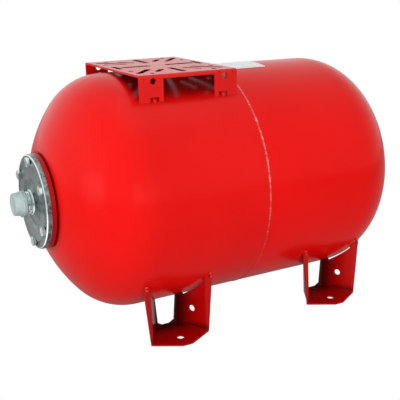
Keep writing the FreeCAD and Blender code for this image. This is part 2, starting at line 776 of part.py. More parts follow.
def draw_slots(sketch):
    """The slots and small holes of the +X +Y quarter of the platform top."""
    slot(sketch, "slot_x_start", "0", "slot_x_end", "0", "slot_x_width")
    slot(sketch, "0", "slot_y_start", "0", "slot_y_end", "slot_y_width")
    slot(sketch, "slot_end_x", "-slot_end_reach", "slot_end_x", "slot_end_reach", "slot_end_width")
    slot(sketch, "slot_main_x1", "slot_main_y1", "slot_main_x2", "slot_main_y2", "slot_main_width")
    slot(sketch, "slot_small_x1", "slot_small_y1", "slot_small_x2", "slot_small_y2", "slot_small_width")
    circle(sketch, "dot_a_x", "dot_a_y", "dot_radius")
    circle(sketch, "dot_b_x", "dot_b_y", "dot_radius")


def build_platform_welds():
    """A plug of weld in each leg's notch, standing on the tank."""
    body = new_body("platform_welds", ("tank_shift - platform_middle", "0", "tank_axis_height"))
    middle = "(platform_half_width - platform_sheet / 2)"
    plugs = new_sketch(body, "XZ_Plane", "plugs", middle)
    for sign in ("", "-"):
        circle(plugs, f"{sign}spot_x", "leg_foot_z + spot_stand - spot_radius / 3", "spot_radius")
    near = pad(body, plugs, "platform_sheet + spot_stand", "plug", symmetric=True)
    mirrored(body, [near], "XZ_Plane", "plug_far")
    seat = new_sketch(body, "YZ_Plane", "tank_seat")
    circle(seat, "0", "0", "tank_radius + seat_gap")
    pocket_through(body, seat, "seat_cut")


# ---------------------------------------------------------------------------- feet
def foot_channel(sketch, back_x, back_y, front_y, lip):
    """The foot's back wall, two slanted side walls and outturned lips, seen from above."""
    wall = "foot_sheet"
    run = f"(({front_y}) - {wall} - ({back_y})) * foot_slope"
    out_x = f"({back_x}) + {run}"
    in_x = f"({back_x}) - {wall} * foot_miter"
    right = [(f"{back_x}", minus(back_y)),
             (out_x, minus(f"({front_y}) - {wall}")),
             (f"{out_x} + {lip}", minus(f"({front_y}) - {wall}")),
             (f"{out_x} + {lip}", minus(front_y)),
             (f"{in_x} + {run}", minus(front_y)),
             (in_x, minus(f"({back_y}) + {wall}"))]
    left = [(minus(x), y) for x, y in reversed(right)]
    outline(sketch, right + left)


def build_foot(label, x_formula, turned):
    """One pressed foot. It reaches the floor under its own middle, toward -Y before it is turned."""
    body = new_body(label, (x_formula, "0", "tank_axis_height"))
    if turned:
        body.Placement.Rotation = Rotation(Vector(0, 0, 1), 180)
    low = new_sketch(body, "XY_Plane", "walls_low", "floor_z")
    foot_channel(low, "foot_back_x", "foot_back_y", "foot_front_y", "foot_lip_low")
    high = new_sketch(body, "XY_Plane", "walls_high", "foot_top_z")
    foot_channel(high, "foot_back_x_high", "foot_back_y_high", "foot_front_y_high", "foot_lip_high")
    feature(body, "AdditiveLoft", "walls", Profile=low, Sections=[high], Ruled=True)

    sole = new_sketch(body, "XY_Plane", "sole", "floor_z")
    outline(sole, [("-foot_tip_x", "-foot_tip_y"), ("foot_tip_x", "-foot_tip_y"),
                   ("foot_lip_x", "-foot_front_y"), ("foot_wall_x", "-(foot_front_y - foot_sheet)"),
                   ("foot_back_x", "-foot_back_y"), ("-foot_back_x", "-foot_back_y"),
                   ("-foot_wall_x", "-(foot_front_y - foot_sheet)"), ("-foot_lip_x", "-foot_front_y")])
    circle(sole, "0", "-foot_hole_y", "foot_hole_radius")
    whole = pad(body, sole, "foot_sheet", "sole_plate")

    back = -number("foot_back_y + foot_sheet / 2")
    lip = -number("foot_front_y - foot_sheet / 2")
    sheet_top = number("floor_z + foot_sheet / 2")
    folds = rounded(body, whole, "foot_fold_radius", "fold_outside", lambda low: low.y > back)
    folds = rounded(body, folds, "foot_fold_inside", "fold_inside",
                    lambda low: back > low.y > lip and low.z > sheet_top)
    rounded(body, folds, "foot_lip_fold_radius", "fold_lip", lambda low: low.y < lip and low.z > sheet_top)

    seat = new_sketch(body, "YZ_Plane", "tank_seat")
    circle(seat, "0", "0", "tank_radius + seat_gap")
    pocket_through(body, seat, "seat_cut")

    slit = new_sketch(body, "YZ_Plane", "slit")
    near = ("-slit_near_y", "-sqrt(slit_radius^2 - slit_near_y^2)")
    far = ("-slit_far_y", "-sqrt(slit_radius^2 - slit_far_y^2)")
    outline(slit, [("0", "0"), near, far + ("slit_radius", 1)])
    pocket_through(body, slit, "slit_cut")

    window = new_sketch(body, "XZ_Plane", "window")
    sill = "floor_z + window_sill"
    jamb_foot = f"{sill} + window_chamfer_height"
    sill_half = "window_half - window_chamfer_width"
    top_half = f"window_half - ({jamb_foot}) * window_spread"
    outline(window, [(minus(top_half), "0"), ("-window_half", jamb_foot),
                     (minus(sill_half), sill), (sill_half, sill),
                     ("window_half", jamb_foot), (top_half, "0")])
    pad(body, window, "foot_back_y + foot_front_y", "window_cut", "Pocket", reverse=True)

    bolt = new_sketch(body, "XZ_Plane", "side_hole")
    slant = math.degrees(math.atan(number("foot_slope")))
    bolt.AttachmentOffset = Placement(Vector(0, 0, 0), Rotation(Vector(0, -1, 0), 90 - slant))
    bind(bolt, "AttachmentOffset.Rotation.Angle", "90 deg - atan(foot_slope)")
    wall_start = "(foot_back_x * foot_slope + foot_back_y) / foot_slope_length"
    circle(bolt, f"{wall_start} + side_hole_run", "floor_z + side_hole_height", "side_hole_radius")
    hole = pocket_through(body, bolt, "side_hole_cut")
    mirrored(body, [hole], "YZ_Plane", "side_hole_other")
    return body


def build_feet():
    """Four alike feet, the far two turned half round."""
    for end, x_formula in (("front", "-foot_half_spacing"), ("rear", "foot_half_spacing")):
        build_foot(f"foot_{end}_near", x_formula, False)
        build_foot(f"foot_{end}_far", x_formula, True)


# ---------------------------------------------------------------------------- label
def build_label():
    """A thin plate wrapped over the top of the tank, behind the platform."""
    body = new_body("rating_label")
    section = new_sketch(body, "YZ_Plane", "section", "label_start_x")
    inner_z = "sqrt(label_radius_in^2 - label_half_width^2)"
    outer_z = "sqrt(label_radius^2 - label_half_width^2)"
    outline(section, [("-label_half_width", inner_z, "label_radius_in", 1),
                      ("-label_half_width", outer_z),
                      ("label_half_width", outer_z, "label_radius", -1),
                      ("label_half_width", inner_z)])
    pad(body, section, "label_length", "plate")


# ---------------------------------------------------------------------------- air valve
def build_valve():
    """The welded boss, brass stem, core, pin, spring, screw cap with seal, and outer cover."""
    turned_part("valve_boss", [("valve_seat - tank_wall", "stem_radius + boss_play"),
                               ("valve_seat - tank_wall", "valve_hole_radius - boss_play"),
                               ("valve_seat", "valve_hole_radius - boss_play"),
                               ("valve_seat", "boss_radius"),
                               ("boss_end", "boss_radius"),
                               ("boss_end", "stem_radius + boss_play")])
    turned_part("valve_stem", [("valve_seat - stem_inside", "stem_bore_radius"),
                               ("valve_seat - stem_inside", "stem_radius"),
                               ("boss_end", "stem_radius"),
                               ("boss_end", "stem_flange_radius"),
                               ("stem_shoulder", "stem_flange_radius"),
                               ("stem_shoulder", "stem_radius"),
                               ("stem_end", "stem_radius"),
                               ("stem_end", "stem_bore_radius")])
    turned_part("valve_core", [("core_start", "pin_hole_radius"),
                               ("core_start", "core_radius"),
                               ("core_end", "core_radius"),
                               ("core_end", "pin_hole_radius"),
                               ("core_cavity_end", "pin_hole_radius"),
                               ("core_cavity_end", "core_cavity_radius"),
                               ("core_cavity_start", "core_cavity_radius"),
                               ("core_cavity_start", "pin_hole_radius")])
    turned_part("valve_pin", [("pin_disc_start", "0"),
                              ("pin_disc_start", "pin_disc_radius"),
                              ("pin_disc_end", "pin_disc_radius"),
                              ("pin_disc_end", "pin_radius"),
                              ("pin_collar_start", "pin_radius"),
                              ("pin_collar_start", "pin_collar_radius"),
                              ("pin_collar_end", "pin_collar_radius"),
                              ("pin_collar_end", "pin_radius"),
                              ("pin_end", "pin_radius"),
                              ("pin_end", "0")])
    build_valve_spring()
    turned_part("valve_cap", [("cap_nut_start", "cap_nut_bore"),
                              ("cap_nut_start", "cap_nut_radius"),
                              ("cap_nut_end", "cap_nut_radius"),
                              ("cap_nut_end", "0"),
                              ("seal_end + boss_play", "0"),
                              ("seal_end + boss_play", "cap_nut_bore")])
    turned_part("valve_cap_seal", [("seal_start", "0"),
                                   ("seal_start", "stem_radius"),
                                   ("seal_end", "stem_radius"),
                                   ("seal_end", "0")])
    inside = "cover_radius - cover_wall"
    turned_part("valve_cover", [("cover_start", "cover_bore"),
                                ("cover_start", "cover_radius"),
                                ("cover_end - cover_round", "cover_radius"),
                                ("cover_end", "cover_radius - cover_round", "cover_round", -1),
                                ("cover_end", "0"),
                                ("cover_end - cover_wall", "0"),
                                ("cover_end - cover_wall", inside),
                                ("cover_start + cover_grip", inside),
                                ("cover_start + cover_grip", "cover_bore")])


def build_valve_spring():
    """The coil between the floor of the core's cavity and the pin's collar."""
    body = new_body("valve_spring")
    wire = new_sketch(body, "XZ_Plane", "wire")
    end_space = "(spring_wire_radius + spring_end_play)"
    circle(wire, f"core_cavity_start + {end_space}", "spring_coil_radius", "spring_wire_radius")
    coil = feature(body, "AdditiveHelix", "coil", Profile=wire, Mode="height-turns-angle",
                   ReferenceAxis=(origin_feature(body, "X_Axis"), [""]))
    bind(coil, "Height", f"spring_length - 2 * {end_space}")
    bind(coil, "Turns", "spring_turns")


# ---------------------------------------------------------------------------- build and export
def sub_parts():
    """The objects that are sub-parts: every body, and the group of screws."""
    bodies = [item for item in doc.Objects if item.TypeId == "PartDesign::Body"]
    groups = [item for item in doc.Objects if item.TypeId == "Part::Compound"]
    return bodies + groups


def check(parts):
    """Stop on any object that failed and on any empty or faulty shape."""
    for item in doc.Objects:
        if "Invalid" in item.State or "Error" in item.State:
            raise RuntimeError(f"{item.Label}: {item.State}")
    for part in parts:
        if part.Shape.isNull() or not part.Shape.Solids or not part.Shape.isValid():
            raise RuntimeError(f"{part.Label}: faulty shape")


def export(parts):
    """Write one STEP file per sub-part."""
    os.makedirs("parts", exist_ok=True)
    for part in parts:
        part.Shape.exportStep(f"parts/{part.Label}.step")
        box = part.Shape.BoundBox
        print(f"{part.Label:18s} solids {len(part.Shape.Solids)}  volume {part.Shape.Volume:12.1f}  "
              f"x {box.XMin:7.1f} {box.XMax:7.1f}  y {box.YMin:7.1f} {box.YMax:7.1f}  "
              f"z {box.ZMin:7.1f} {box.ZMax:7.1f}")


build_shells()
build_flange()
build_thread_cap()
build_bladder()
build_platform()
build_feet()
build_label()
build_valve()
doc.recompute()
finished = sub_parts()
check(finished)
export(finished)
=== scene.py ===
# %% [markdown]
# # A horizontal expansion vessel
# The object is a welded steel tank that lies on four pressed feet. A rubber bladder inside it takes
# the water, which comes in through the screwed flange at one end, and air is pumped in through the
# valve at the other. A slotted sheet on top carries a pump.
#
# The solids are finished already: this lesson gives them their surfaces, adds the small forms that a
# solid model leaves out, such as weld beads and rounded sheet edges, and lights the whole thing.
# Lengths are metres, X runs along the tank with the water flange at -X, and Z is up.

import math

import bmesh
import bpy
from mathutils import Matrix, Vector, noise


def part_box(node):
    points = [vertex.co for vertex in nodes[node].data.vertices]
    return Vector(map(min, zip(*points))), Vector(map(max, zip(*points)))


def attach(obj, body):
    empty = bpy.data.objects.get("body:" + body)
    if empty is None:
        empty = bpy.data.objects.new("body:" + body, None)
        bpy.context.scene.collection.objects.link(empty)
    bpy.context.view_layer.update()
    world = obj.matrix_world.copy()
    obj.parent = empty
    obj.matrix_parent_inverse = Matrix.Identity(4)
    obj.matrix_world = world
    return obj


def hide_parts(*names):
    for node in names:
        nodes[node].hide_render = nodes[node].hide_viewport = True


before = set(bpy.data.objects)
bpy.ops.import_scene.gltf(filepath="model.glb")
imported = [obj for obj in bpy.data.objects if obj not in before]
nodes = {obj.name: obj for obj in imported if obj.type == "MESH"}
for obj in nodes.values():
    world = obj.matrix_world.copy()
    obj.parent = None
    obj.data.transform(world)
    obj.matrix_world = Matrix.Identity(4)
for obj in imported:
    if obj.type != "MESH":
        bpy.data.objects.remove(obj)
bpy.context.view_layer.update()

# %% [markdown]
# ## Measures
# Every position below is read from the solids, so that a change of the model moves the trimmings
# with it. A turned part has its middle on the tank's axis, so its box gives the axis and its radius.

# %% Measures of the tank
MM = 0.001


def middle(node):
    """The middle of a solid's box."""
    low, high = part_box(node)
    return (low + high) / 2


def radius_across(node):
    """Half of a solid's width across the tank."""
    low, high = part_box(node)
    return (high.y - low.y) / 2


AXIS_HEIGHT = middle("girth_weld").z
TANK_RADIUS = radius_across("shell_rear")
print(f"axis {AXIS_HEIGHT / MM:.1f} mm up, tank radius {TANK_RADIUS / MM:.1f} mm")

# %% [markdown]
# ## The camera
# The camera stands in front of the vessel on the water side, a little above it, and looks slightly
# down. The lens is fairly long, so the tank narrows only a little toward its far end. The camera is
# turned about its own line of sight by less than a degree, as a camera in the hand would be.

# %% Camera
CAMERA_AZIMUTH = math.radians(-28.84)
CAMERA_ELEVATION = math.radians(16.76)
CAMERA_ROLL = math.radians(-0.74)
CAMERA_DISTANCE = 1.2364
CAMERA_TARGET = Vector((-0.0253, 0.0, 0.1606))
LENS_MM = 66.67
SENSOR_MM = 36
FARTHEST = 50


def camera_turn(azimuth, elevation, roll):
    """The turn of a camera that looks at the target from an azimuth and an elevation."""
    back = Vector((math.sin(azimuth) * math.cos(elevation),
                   -math.cos(azimuth) * math.cos(elevation), math.sin(elevation)))
    level = Vector((math.cos(azimuth), math.sin(azimuth), 0))
    upright = back.cross(level)
    right = level * math.cos(roll) + upright * math.sin(roll)
    up = upright * math.cos(roll) - level * math.sin(roll)
    return Matrix((right, up, back)).transposed()


turn = camera_turn(CAMERA_AZIMUTH, CAMERA_ELEVATION, CAMERA_ROLL)
camera = bpy.data.objects.new("camera", bpy.data.cameras.new("camera"))
camera.matrix_world = Matrix.Translation(CAMERA_TARGET + turn.col[2] * CAMERA_DISTANCE) @ turn.to_4x4()
camera.data.lens = LENS_MM
camera.data.sensor_width = SENSOR_MM
camera.data.clip_end = FARTHEST
bpy.context.scene.collection.objects.link(camera)
bpy.context.scene.camera = camera
print("camera at", [round(x, 3) for x in camera.matrix_world.translation])

# %% [markdown]
# ## Writing materials as sums
# A material is a tree of nodes. Most of the nodes only add, multiply or compare numbers, so the
# small class below lets a socket be used in a Python sum, and each operation adds its Math node.
# Every other node comes from one method: the settings first, then the values or links.

# %% A socket that can be used in sums
class Signal:
    """A socket of a material's tree, used in sums as if it were a number."""

    def __init__(self, tree, socket=None):
        self.tree = tree
        self.socket = socket

    def node(self, kind, settings=None, values=None, output=0):
        """Add a node, with its settings, then the values or links of its sockets."""
        made = self.tree.nodes.new(kind)
        for key, value in (settings or {}).items():
            setattr(made, key, value)
        for key, value in (values or {}).items():
            if isinstance(value, Signal):
                self.tree.links.new(value.socket, made.inputs[key])
            else:
                made.inputs[key].default_value = value
        return Signal(self.tree, made.outputs[output])

    def sum(self, operation, *others):
        """A Math node whose first value is this socket."""
        values = {0: self}
        values.update({index + 1: other for index, other in enumerate(others)})
        return self.node("ShaderNodeMath", {"operation": operation}, values)

    def __add__(self, other):
        return self.sum("ADD", other)

    def __radd__(self, other):
        return self.sum("ADD", other)

    def __sub__(self, other):
        return self.sum("SUBTRACT", other)

    def __rsub__(self, other):
        return self.node("ShaderNodeMath", {"operation": "SUBTRACT"}, {0: other, 1: self})

    def __mul__(self, other):
        return self.sum("MULTIPLY", other)

    def __rmul__(self, other):
        return self.sum("MULTIPLY", other)

    def __truediv__(self, other):
        return self.sum("DIVIDE", other)

    def __abs__(self):
        return self.sum("ABSOLUTE")


# %% Short words for the nodes that come back
def new_finish(name):
    """A material with its shader, and a start for its signals."""
    material = bpy.data.materials.new(name)
    material.use_nodes = True
    tree = material.node_tree
    return material, tree.nodes["Principled BSDF"], Signal(tree)


def feed(shader, **signals):
    """Link signals to the shader's sockets, named with _ for a space."""
    for name, signal in signals.items():
        signal.tree.links.new(signal.socket, shader.inputs[name.replace("_", " ")])


def fix(shader, **constants):
    """Set values that are the same all over the surface."""
    for name, value in constants.items():
        shader.inputs[name.replace("_", " ")].default_value = value


def colour(red, green, blue):
    """A colour with full cover."""
    return (red, green, blue, 1.0)


def place_of(start):
    """The place on the object, in metres."""
    return start.node("ShaderNodeTexCoord", output=3)


def facing_of(place):
    """The direction that the surface faces."""
    return place.node("ShaderNodeNewGeometry", output=1)


ALONG, ACROSS, UP = range(3)


def part(signal, axis):
    """One part of a place or a direction: along the tank, across it, or up."""
    return signal.node("ShaderNodeSeparateXYZ", {}, {0: signal}, axis)


def grain(start, place, scale, detail=2.0, roughness=0.5):
    """Noise between 0 and 1, with that many waves to the metre."""
    return start.node("ShaderNodeTexNoise", {}, {"Vector": place, "Scale": scale, "Detail": detail,
                                                 "Roughness": roughness})


def mixed(factor, first, second):
    """The first colour where the factor is 0, the second where it is 1."""
    return factor.node("ShaderNodeMix", {"data_type": "RGBA"}, {0: factor, 6: first, 7: second}, 2)


def between(signal, low, high):
    """0 below low, 1 above high, and smooth between them."""
    return signal.node("ShaderNodeMapRange", {"interpolation_type": "SMOOTHSTEP"},
                       {0: signal, 1: low, 2: high, 3: 0.0, 4: 1.0})


def fade_in(signal, edge, first, last):
    """0 until first millimetres past an edge, and 1 from last millimetres past it."""
    return between(signal, edge + first * MM, edge + last * MM)


def fade_out(signal, edge, first, last):
    """1 until first millimetres past an edge, and 0 from last millimetres past it."""
    return 1.0 - fade_in(signal, edge, first, last)


def bumped(height, strength, distance):
    """A normal that is tilted by a height signal."""
    return height.node("ShaderNodeBump", {}, {"Strength": strength, "Distance": distance,
                                              "Height": height})


def wear(piece_or_node, finish):
    """Give a piece or a solid one finish all over."""
    slots = piece_or_node.data.materials
    slots.clear()
    slots.append(finish)


# %% [markdown]
# ## Red enamel
# The steel is sprayed with a glossy red stove enamel. Close up such a coat isn't flat: it has a fine
# orange-peel ripple, a faint cloudiness where it is thicker, and a few specks of dust under the
# skin. The tank, the platform and the feet are separate pressings and each takes its own tone, so
# one function makes the enamel from a deep and a bright red. The reds of the feet and of the neck
# ring are made darker as painted shade. Shade is also painted into the colour in sheltered places:
# under the platform, behind the neck ring, on the walls of the platform's slots and deep inside the
# feet. How dark it is is a guess. A mask finds these places from the place on the object and from
# the way that the surface faces, so that they stay put in every view.

# %% How far a point is from the tank's axis
def distance_from_axis(place):
    """How far a point is from the tank's axis."""
    across = part(place, ACROSS)
    up = part(place, UP) - AXIS_HEIGHT
    return (across * across + up * up).sum("SQRT")


# %% Painted shade in sheltered places on the tank
CROWN_SHADE = 0.4
RING_SHADE = 0.35


def painted_shade_on_tank(place):
    """Painted shade: 1 high under the platform, less lower down and behind the neck ring, and 0
    elsewhere.
    """
    low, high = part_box("pump_platform")
    ring_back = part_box("neck_ring")[1].x
    along, height = part(place, ALONG), part(place, UP)
    beside = abs(along - (low.x + high.x) / 2)
    covered = fade_in(height, low.z, -8, 10) * fade_out(beside, (high.x - low.x) / 2, -6, 9)
    crown = fade_in(height, low.z, -2, 16) * (1 - CROWN_SHADE) + CROWN_SHADE
    neck = fade_out(distance_from_axis(place), radius_across("neck_ring"), 0, 13)
    behind = neck * fade_out(along, ring_back, 24.4, 44.4) * RING_SHADE
    return (covered * crown).sum("MAXIMUM", behind)


# %% Painted shade on the walls of the platform's openings
def painted_shade_in_slots(place):
    """Painted shade: 1 on the walls of the openings cut through the platform's plate, and 0 elsewhere.
    """
    low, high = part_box("pump_platform")
    beside = abs(part(place, ALONG) - (low.x + high.x) / 2)
    upright = 1.0 - between(abs(part(facing_of(place), UP)), 0.4, 0.6)
    within_length = fade_out(beside, (high.x - low.x) / 2, -5, -4)
    within_width = fade_out(abs(part(place, ACROSS)), high.y, -5, -4)
    return upright * within_length * within_width * fade_in(part(place, UP), high.z, -4, -3.5)


# %% Painted shade in the corners of the feet
FOLD_SHADE = 0.75
FOOT_SHADE = 0.92


def painted_shade_in_feet(place):
    """Painted shade, nearly 1 deep in a foot by its back wall and above its sole's fold, 0 elsewhere.
    """
    low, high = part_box("foot_rear_far")
    along, height = part(place, ALONG), part(place, UP)
    depth = abs(part(place, ACROSS)) - low.y
    aside = along - along.sum("SIGN") * ((low.x + high.x) / 2)
    outward = aside * part(facing_of(place), ALONG)
    back = fade_out(depth, 0, 4, 40)
    fold = fade_out(height, 0, 5, 17) * fade_in(height, 0, 2.6, 3.4) * FOLD_SHADE
    return back.sum("MAXIMUM", fold) * fade_out(outward, 0, 2, 8) * FOOT_SHADE


# %% Enamel
PEEL_WAVES = 420
PEEL_DEPTH = 0.6 * MM
CLOUD_WAVES = 7
SPECK_WAVES = 900
SPECK_COVER = 0.25
SPECK_RED = colour(0.5, 0.08, 0.07)
# Reds of the shade painted into the enamel.
PAINTED_SHADE_RED = colour(0.16, 0.001, 0.001)
DEEPEST_PAINTED_SHADE_RED = colour(0.012, 0.001, 0.001)


def enamel(name, deep, bright, gloss, shine, peel=0.12, dark=None, shade_colour=PAINTED_SHADE_RED):
    """Stove enamel with orange peel, clouds of thickness, specks of dust, and shade painted in by a
    mask.
    """
    material, shader, start = new_finish(name)
    place = place_of(start)
    clouds = grain(start, place, CLOUD_WAVES, 3.0)
    specks = between(grain(start, place, SPECK_WAVES, 1.0), 0.74, 0.80)
    skin = mixed(between(clouds, 0.3, 0.7), deep, bright)
    # Shade is painted into the colour where the mask is high.
    if dark:
        skin = mixed(dark(place), skin, shade_colour)
    feed(shader, Base_Color=mixed(specks * SPECK_COVER, skin, SPECK_RED),
         Roughness=gloss + clouds * 0.08 + specks * 0.15,
         Normal=bumped(grain(start, place, PEEL_WAVES, 2.0), peel, PEEL_DEPTH))
    fix(shader, Specular_IOR_Level=shine)
    return material


# %% The five reds
tank_red = enamel("tank_red", colour(0.69, 0.004, 0.003), colour(0.73, 0.006, 0.005),
                  gloss=0.20, shine=0.15, dark=painted_shade_on_tank)
rear_red = enamel("rear_red", colour(0.72, 0.003, 0.002), colour(0.76, 0.004, 0.003),
                  gloss=0.18, shine=0.14)
# The neck ring's red is darker as painted shade.
neck_red_shaded = enamel("neck_red_shaded", colour(0.31, 0.002, 0.003), colour(0.36, 0.003, 0.004),
                  gloss=0.25, shine=0.15)
sheet_red = enamel("sheet_red", colour(0.60, 0.005, 0.004), colour(0.68, 0.008, 0.006),
                   gloss=0.22, shine=0.32, dark=painted_shade_in_slots)
# The feet's reds are darker as painted shade.
foot_red_shaded = enamel("foot_red_shaded", colour(0.36, 0.001, 0.001), colour(0.46, 0.002, 0.002),
                  gloss=0.14, shine=0.30, peel=0.08, dark=painted_shade_in_feet, shade_colour=DEEPEST_PAINTED_SHADE_RED)
for name, finish in (("shell_front", tank_red), ("neck_ring", neck_red_shaded), ("shell_rear", rear_red),
                     ("valve_boss", rear_red)):
    wear(nodes[name], finish)
print("enamels:", tank_red.name, sheet_red.name, foot_red_shaded.name)

# %% [markdown]
# ## Zinc
# The flange plate is hot-dip galvanised: the zinc freezes in crystals a few millimetres across, each
# a little lighter or darker, with a grey bloom over part of them. The collar, the nipple and the
# screws are electroplated, which is finer and brighter, and passivated, which leaves thin films of
# green and violet. Both come from one function, with the crystals as large as they should be. The
# plate is also worn: its rim is rubbed bright and its cut edge is dark. A shadow is painted around
# each screw.

# %% Where the flange plate is worn, and its painted shadow by the screws
SCREW_CORNER = 7.5 * MM
SCREW_SPACING = math.pi / 3
SCREW_SHADOW_COVER = 0.8


def painted_screw_shadow(place, away):
    """Painted shadow: 1 close around each flange screw, and 0 elsewhere."""
    low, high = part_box("flange_screws")
    circle = (high.z - low.z) / 2 - SCREW_CORNER
    across, up = part(place, ACROSS), part(place, UP) - AXIS_HEIGHT
    sixth = (across.sum("ARCTAN2", up) / SCREW_SPACING + 0.5).sum("FRACT") - 0.5
    turned_by = sixth * SCREW_SPACING
    beside = away * turned_by.sum("SINE")
    beyond = away * turned_by.sum("COSINE") - circle
    from_screw = (beside * beside + beyond * beyond).sum("SQRT")
    return fade_out(from_screw, 0, 6.2, 9.0) * SCREW_SHADOW_COVER


def plate_wear_and_screw_shadow(place):
    """Masks of the rim that is rubbed bright, of its dark cut edge, and of the painted shadow by the
    screws.
    """
    low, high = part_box("flange_plate")
    outer = radius_across("neck_ring")
    along, away = part(place, ALONG), distance_from_axis(place)
    rubbed = fade_in(away, outer, -2.8, -2.2) * fade_out(along, low.x, 0.7, 1.5)
    cut = fade_in(away, outer, -1.6, -0.8) * fade_in(along, low.x, 1.2, 2.2)
    return rubbed, cut * fade_out(along, high.x, -1.3, -0.9), painted_screw_shadow(place, away)


# %% Galvanised and plated steel
VIOLET_FILM = colour(0.33, 0.31, 0.36)
GREEN_FILM = colour(0.38, 0.49, 0.45)
POLISHED = colour(0.88, 0.96, 0.95)
# Colour of the shadow painted around the screws.
SCREW_SHADOW_COLOUR = colour(0.03, 0.04, 0.045)
CUT_EDGE_DARK = colour(0.08, 0.09, 0.12)
CUT_EDGE_LIGHT = colour(0.34, 0.42, 0.38)
WARP = (4 * MM, 4 * MM, 4 * MM)
STAIN_WAVES, FILM_WAVES, STREAK_WAVES, PIT_WAVES = 70, 45, 300, 900


def zinc(name, dark, light, crystals, rough, bloom, wear_and_shadow=None):
    """Zinc with crystals that many to the metre, and a dull bloom over part of it."""
    material, shader, start = new_finish(name)
    place = place_of(start)
    bend = start.node("ShaderNodeTexNoise", {}, {"Vector": place, "Scale": crystals / 2}, output=1)
    warped = start.node("ShaderNodeVectorMath", {"operation": "MULTIPLY_ADD"},
                        {0: bend, 1: WARP, 2: place})
    flake = start.node("ShaderNodeTexVoronoi", {}, {"Vector": warped, "Scale": crystals}, output=1)
    tone = flake.node("ShaderNodeSeparateColor", {}, {0: flake})
    stain = between(grain(start, place, STAIN_WAVES, 4.0, 0.6), 0.45, 0.70)
    metal = mixed(tone * 0.6 + grain(start, place, STREAK_WAVES, 3.0) * 0.4, dark, light)
    film = mixed(between(grain(start, place, FILM_WAVES, 2.0), 0.40, 0.60), VIOLET_FILM, GREEN_FILM)
    skin = mixed(stain * bloom, metal, film)
    if wear_and_shadow:
        # Wear, and the shadow painted around the screws.
        rubbed, cut, screw_shadow = wear_and_shadow(place)
        skin = mixed(rubbed * 0.95, mixed(screw_shadow, skin, SCREW_SHADOW_COLOUR), POLISHED)
        skin = mixed(cut * 0.9, skin, mixed(tone, CUT_EDGE_DARK, CUT_EDGE_LIGHT))
    feed(shader, Base_Color=skin,
         Roughness=rough + tone * 0.10 + stain * 0.12,
         Normal=bumped(tone + grain(start, place, PIT_WAVES, 2.0) * 0.5, 0.10, 0.2 * MM))
    fix(shader, Metallic=1.0)
    return material


flange_zinc = zinc("flange_zinc", colour(0.15, 0.175, 0.175), colour(0.33, 0.37, 0.365),
                   crystals=190, rough=0.26, bloom=0.45, wear_and_shadow=plate_wear_and_screw_shadow)
bright_zinc = zinc("bright_zinc", colour(0.58, 0.68, 0.67), colour(0.86, 0.95, 0.94),
                   crystals=420, rough=0.12, bloom=0.25)
wear(nodes["water_nipple"], bright_zinc)
print("zincs:", flange_zinc.name, bright_zinc.name)

# %% [markdown]
# ## Plastics, rubber, brass and the label film
# The transit cap is thin milky polyethylene: light goes into it and comes out nearby, which
# subsurface scattering gives. The valve's cover and cap are black moulded plastic with a fine
# spark-eroded grain. The bladder and the seal are black rubber with a bloom of talc. The valve is
# turned brass with fine tool marks around it. The label is a bare white film with a ruled frame and
# rows of short grey dashes, and nothing is written on it.

# %% Milky plastic of the transit cap
MILK_DEEP = colour(0.36, 0.46, 0.45)
MILK_PALE = colour(0.44, 0.53, 0.52)
FLOW_WAVES, SCRATCH_WAVES = 90, 1400


def milky_plastic():
    """Polyethylene with faint flow clouds and fine scratches."""
    material, shader, start = new_finish("milky_plastic")
    place = place_of(start)
    clouds = grain(start, place, FLOW_WAVES, 3.0)
    scratches = grain(start, place, SCRATCH_WAVES, 2.0)
    feed(shader, Base_Color=mixed(between(clouds, 0.35, 0.7), MILK_DEEP, MILK_PALE),
         Roughness=0.34 + scratches * 0.2,
         Normal=bumped(scratches + clouds, 0.10, 0.3 * MM))
    fix(shader, Subsurface_Weight=0.35, Subsurface_Radius=(4 * MM, 5 * MM, 5 * MM), IOR=1.5)
    return material


milky = milky_plastic()


# %% Black plastic, rubber and brass
DUST_LIFT = 4
DUST_COVER = 0.5
DUST_WAVES = 45
TOOL_MARKS = 9000.0
BRASS_STAINED = colour(0.50, 0.33, 0.10)
BRASS_CLEAN = colour(0.78, 0.58, 0.24)


def grey(tone):
    """A colour without a hue."""
    return colour(tone, tone, tone)


def moulded_black(name, tone, rough, grains):
    """Black plastic or rubber with an even grain and a faint bloom."""
    material, shader, start = new_finish(name)
    place = place_of(start)
    pits = grain(start, place, grains, 2.0)
    dust = between(grain(start, place, DUST_WAVES, 4.0), 0.45, 0.8)
    feed(shader, Base_Color=mixed(dust * DUST_COVER, grey(tone), grey(tone * DUST_LIFT)),
         Roughness=rough + pits * 0.2,
         Normal=bumped(pits, 0.25, 0.2 * MM))
    return material


def turned_brass():
    """Brass with the fine rings that a lathe leaves around it."""
    material, shader, start = new_finish("turned_brass")
    place = place_of(start)
    rings = (part(place, ALONG) * TOOL_MARKS).sum("SINE") * 0.5 + 0.5
    stain = grain(start, place, 220, 3.0)
    feed(shader, Base_Color=mixed(stain, BRASS_STAINED, BRASS_CLEAN),
         Roughness=0.22 + stain * 0.2, Normal=bumped(rings, 0.15, 0.1 * MM))
    fix(shader, Metallic=1.0)
    return material


black_plastic = moulded_black("black_plastic", 0.018, 0.38, 1800)
black_rubber = moulded_black("black_rubber", 0.025, 0.60, 700)
brass = turned_brass()
for name, finish in (("bladder", black_rubber), ("valve_cap_seal", black_rubber),
                     ("valve_cap", black_plastic), ("valve_cover", black_plastic),
                     ("valve_stem", brass), ("valve_core", brass),
                     ("valve_pin", brass), ("valve_spring", bright_zinc)):
    wear(nodes[name], finish)
print("blacks and brass:", black_plastic.name, black_rubber.name, brass.name)


# %% Bare label film
PAPER_DULL = colour(0.86, 0.90, 0.91)
PAPER_CLEAN = colour(0.93, 0.96, 0.97)
INK_GREY = colour(0.25, 0.27, 0.30)
DASH_ROWS = 9.0


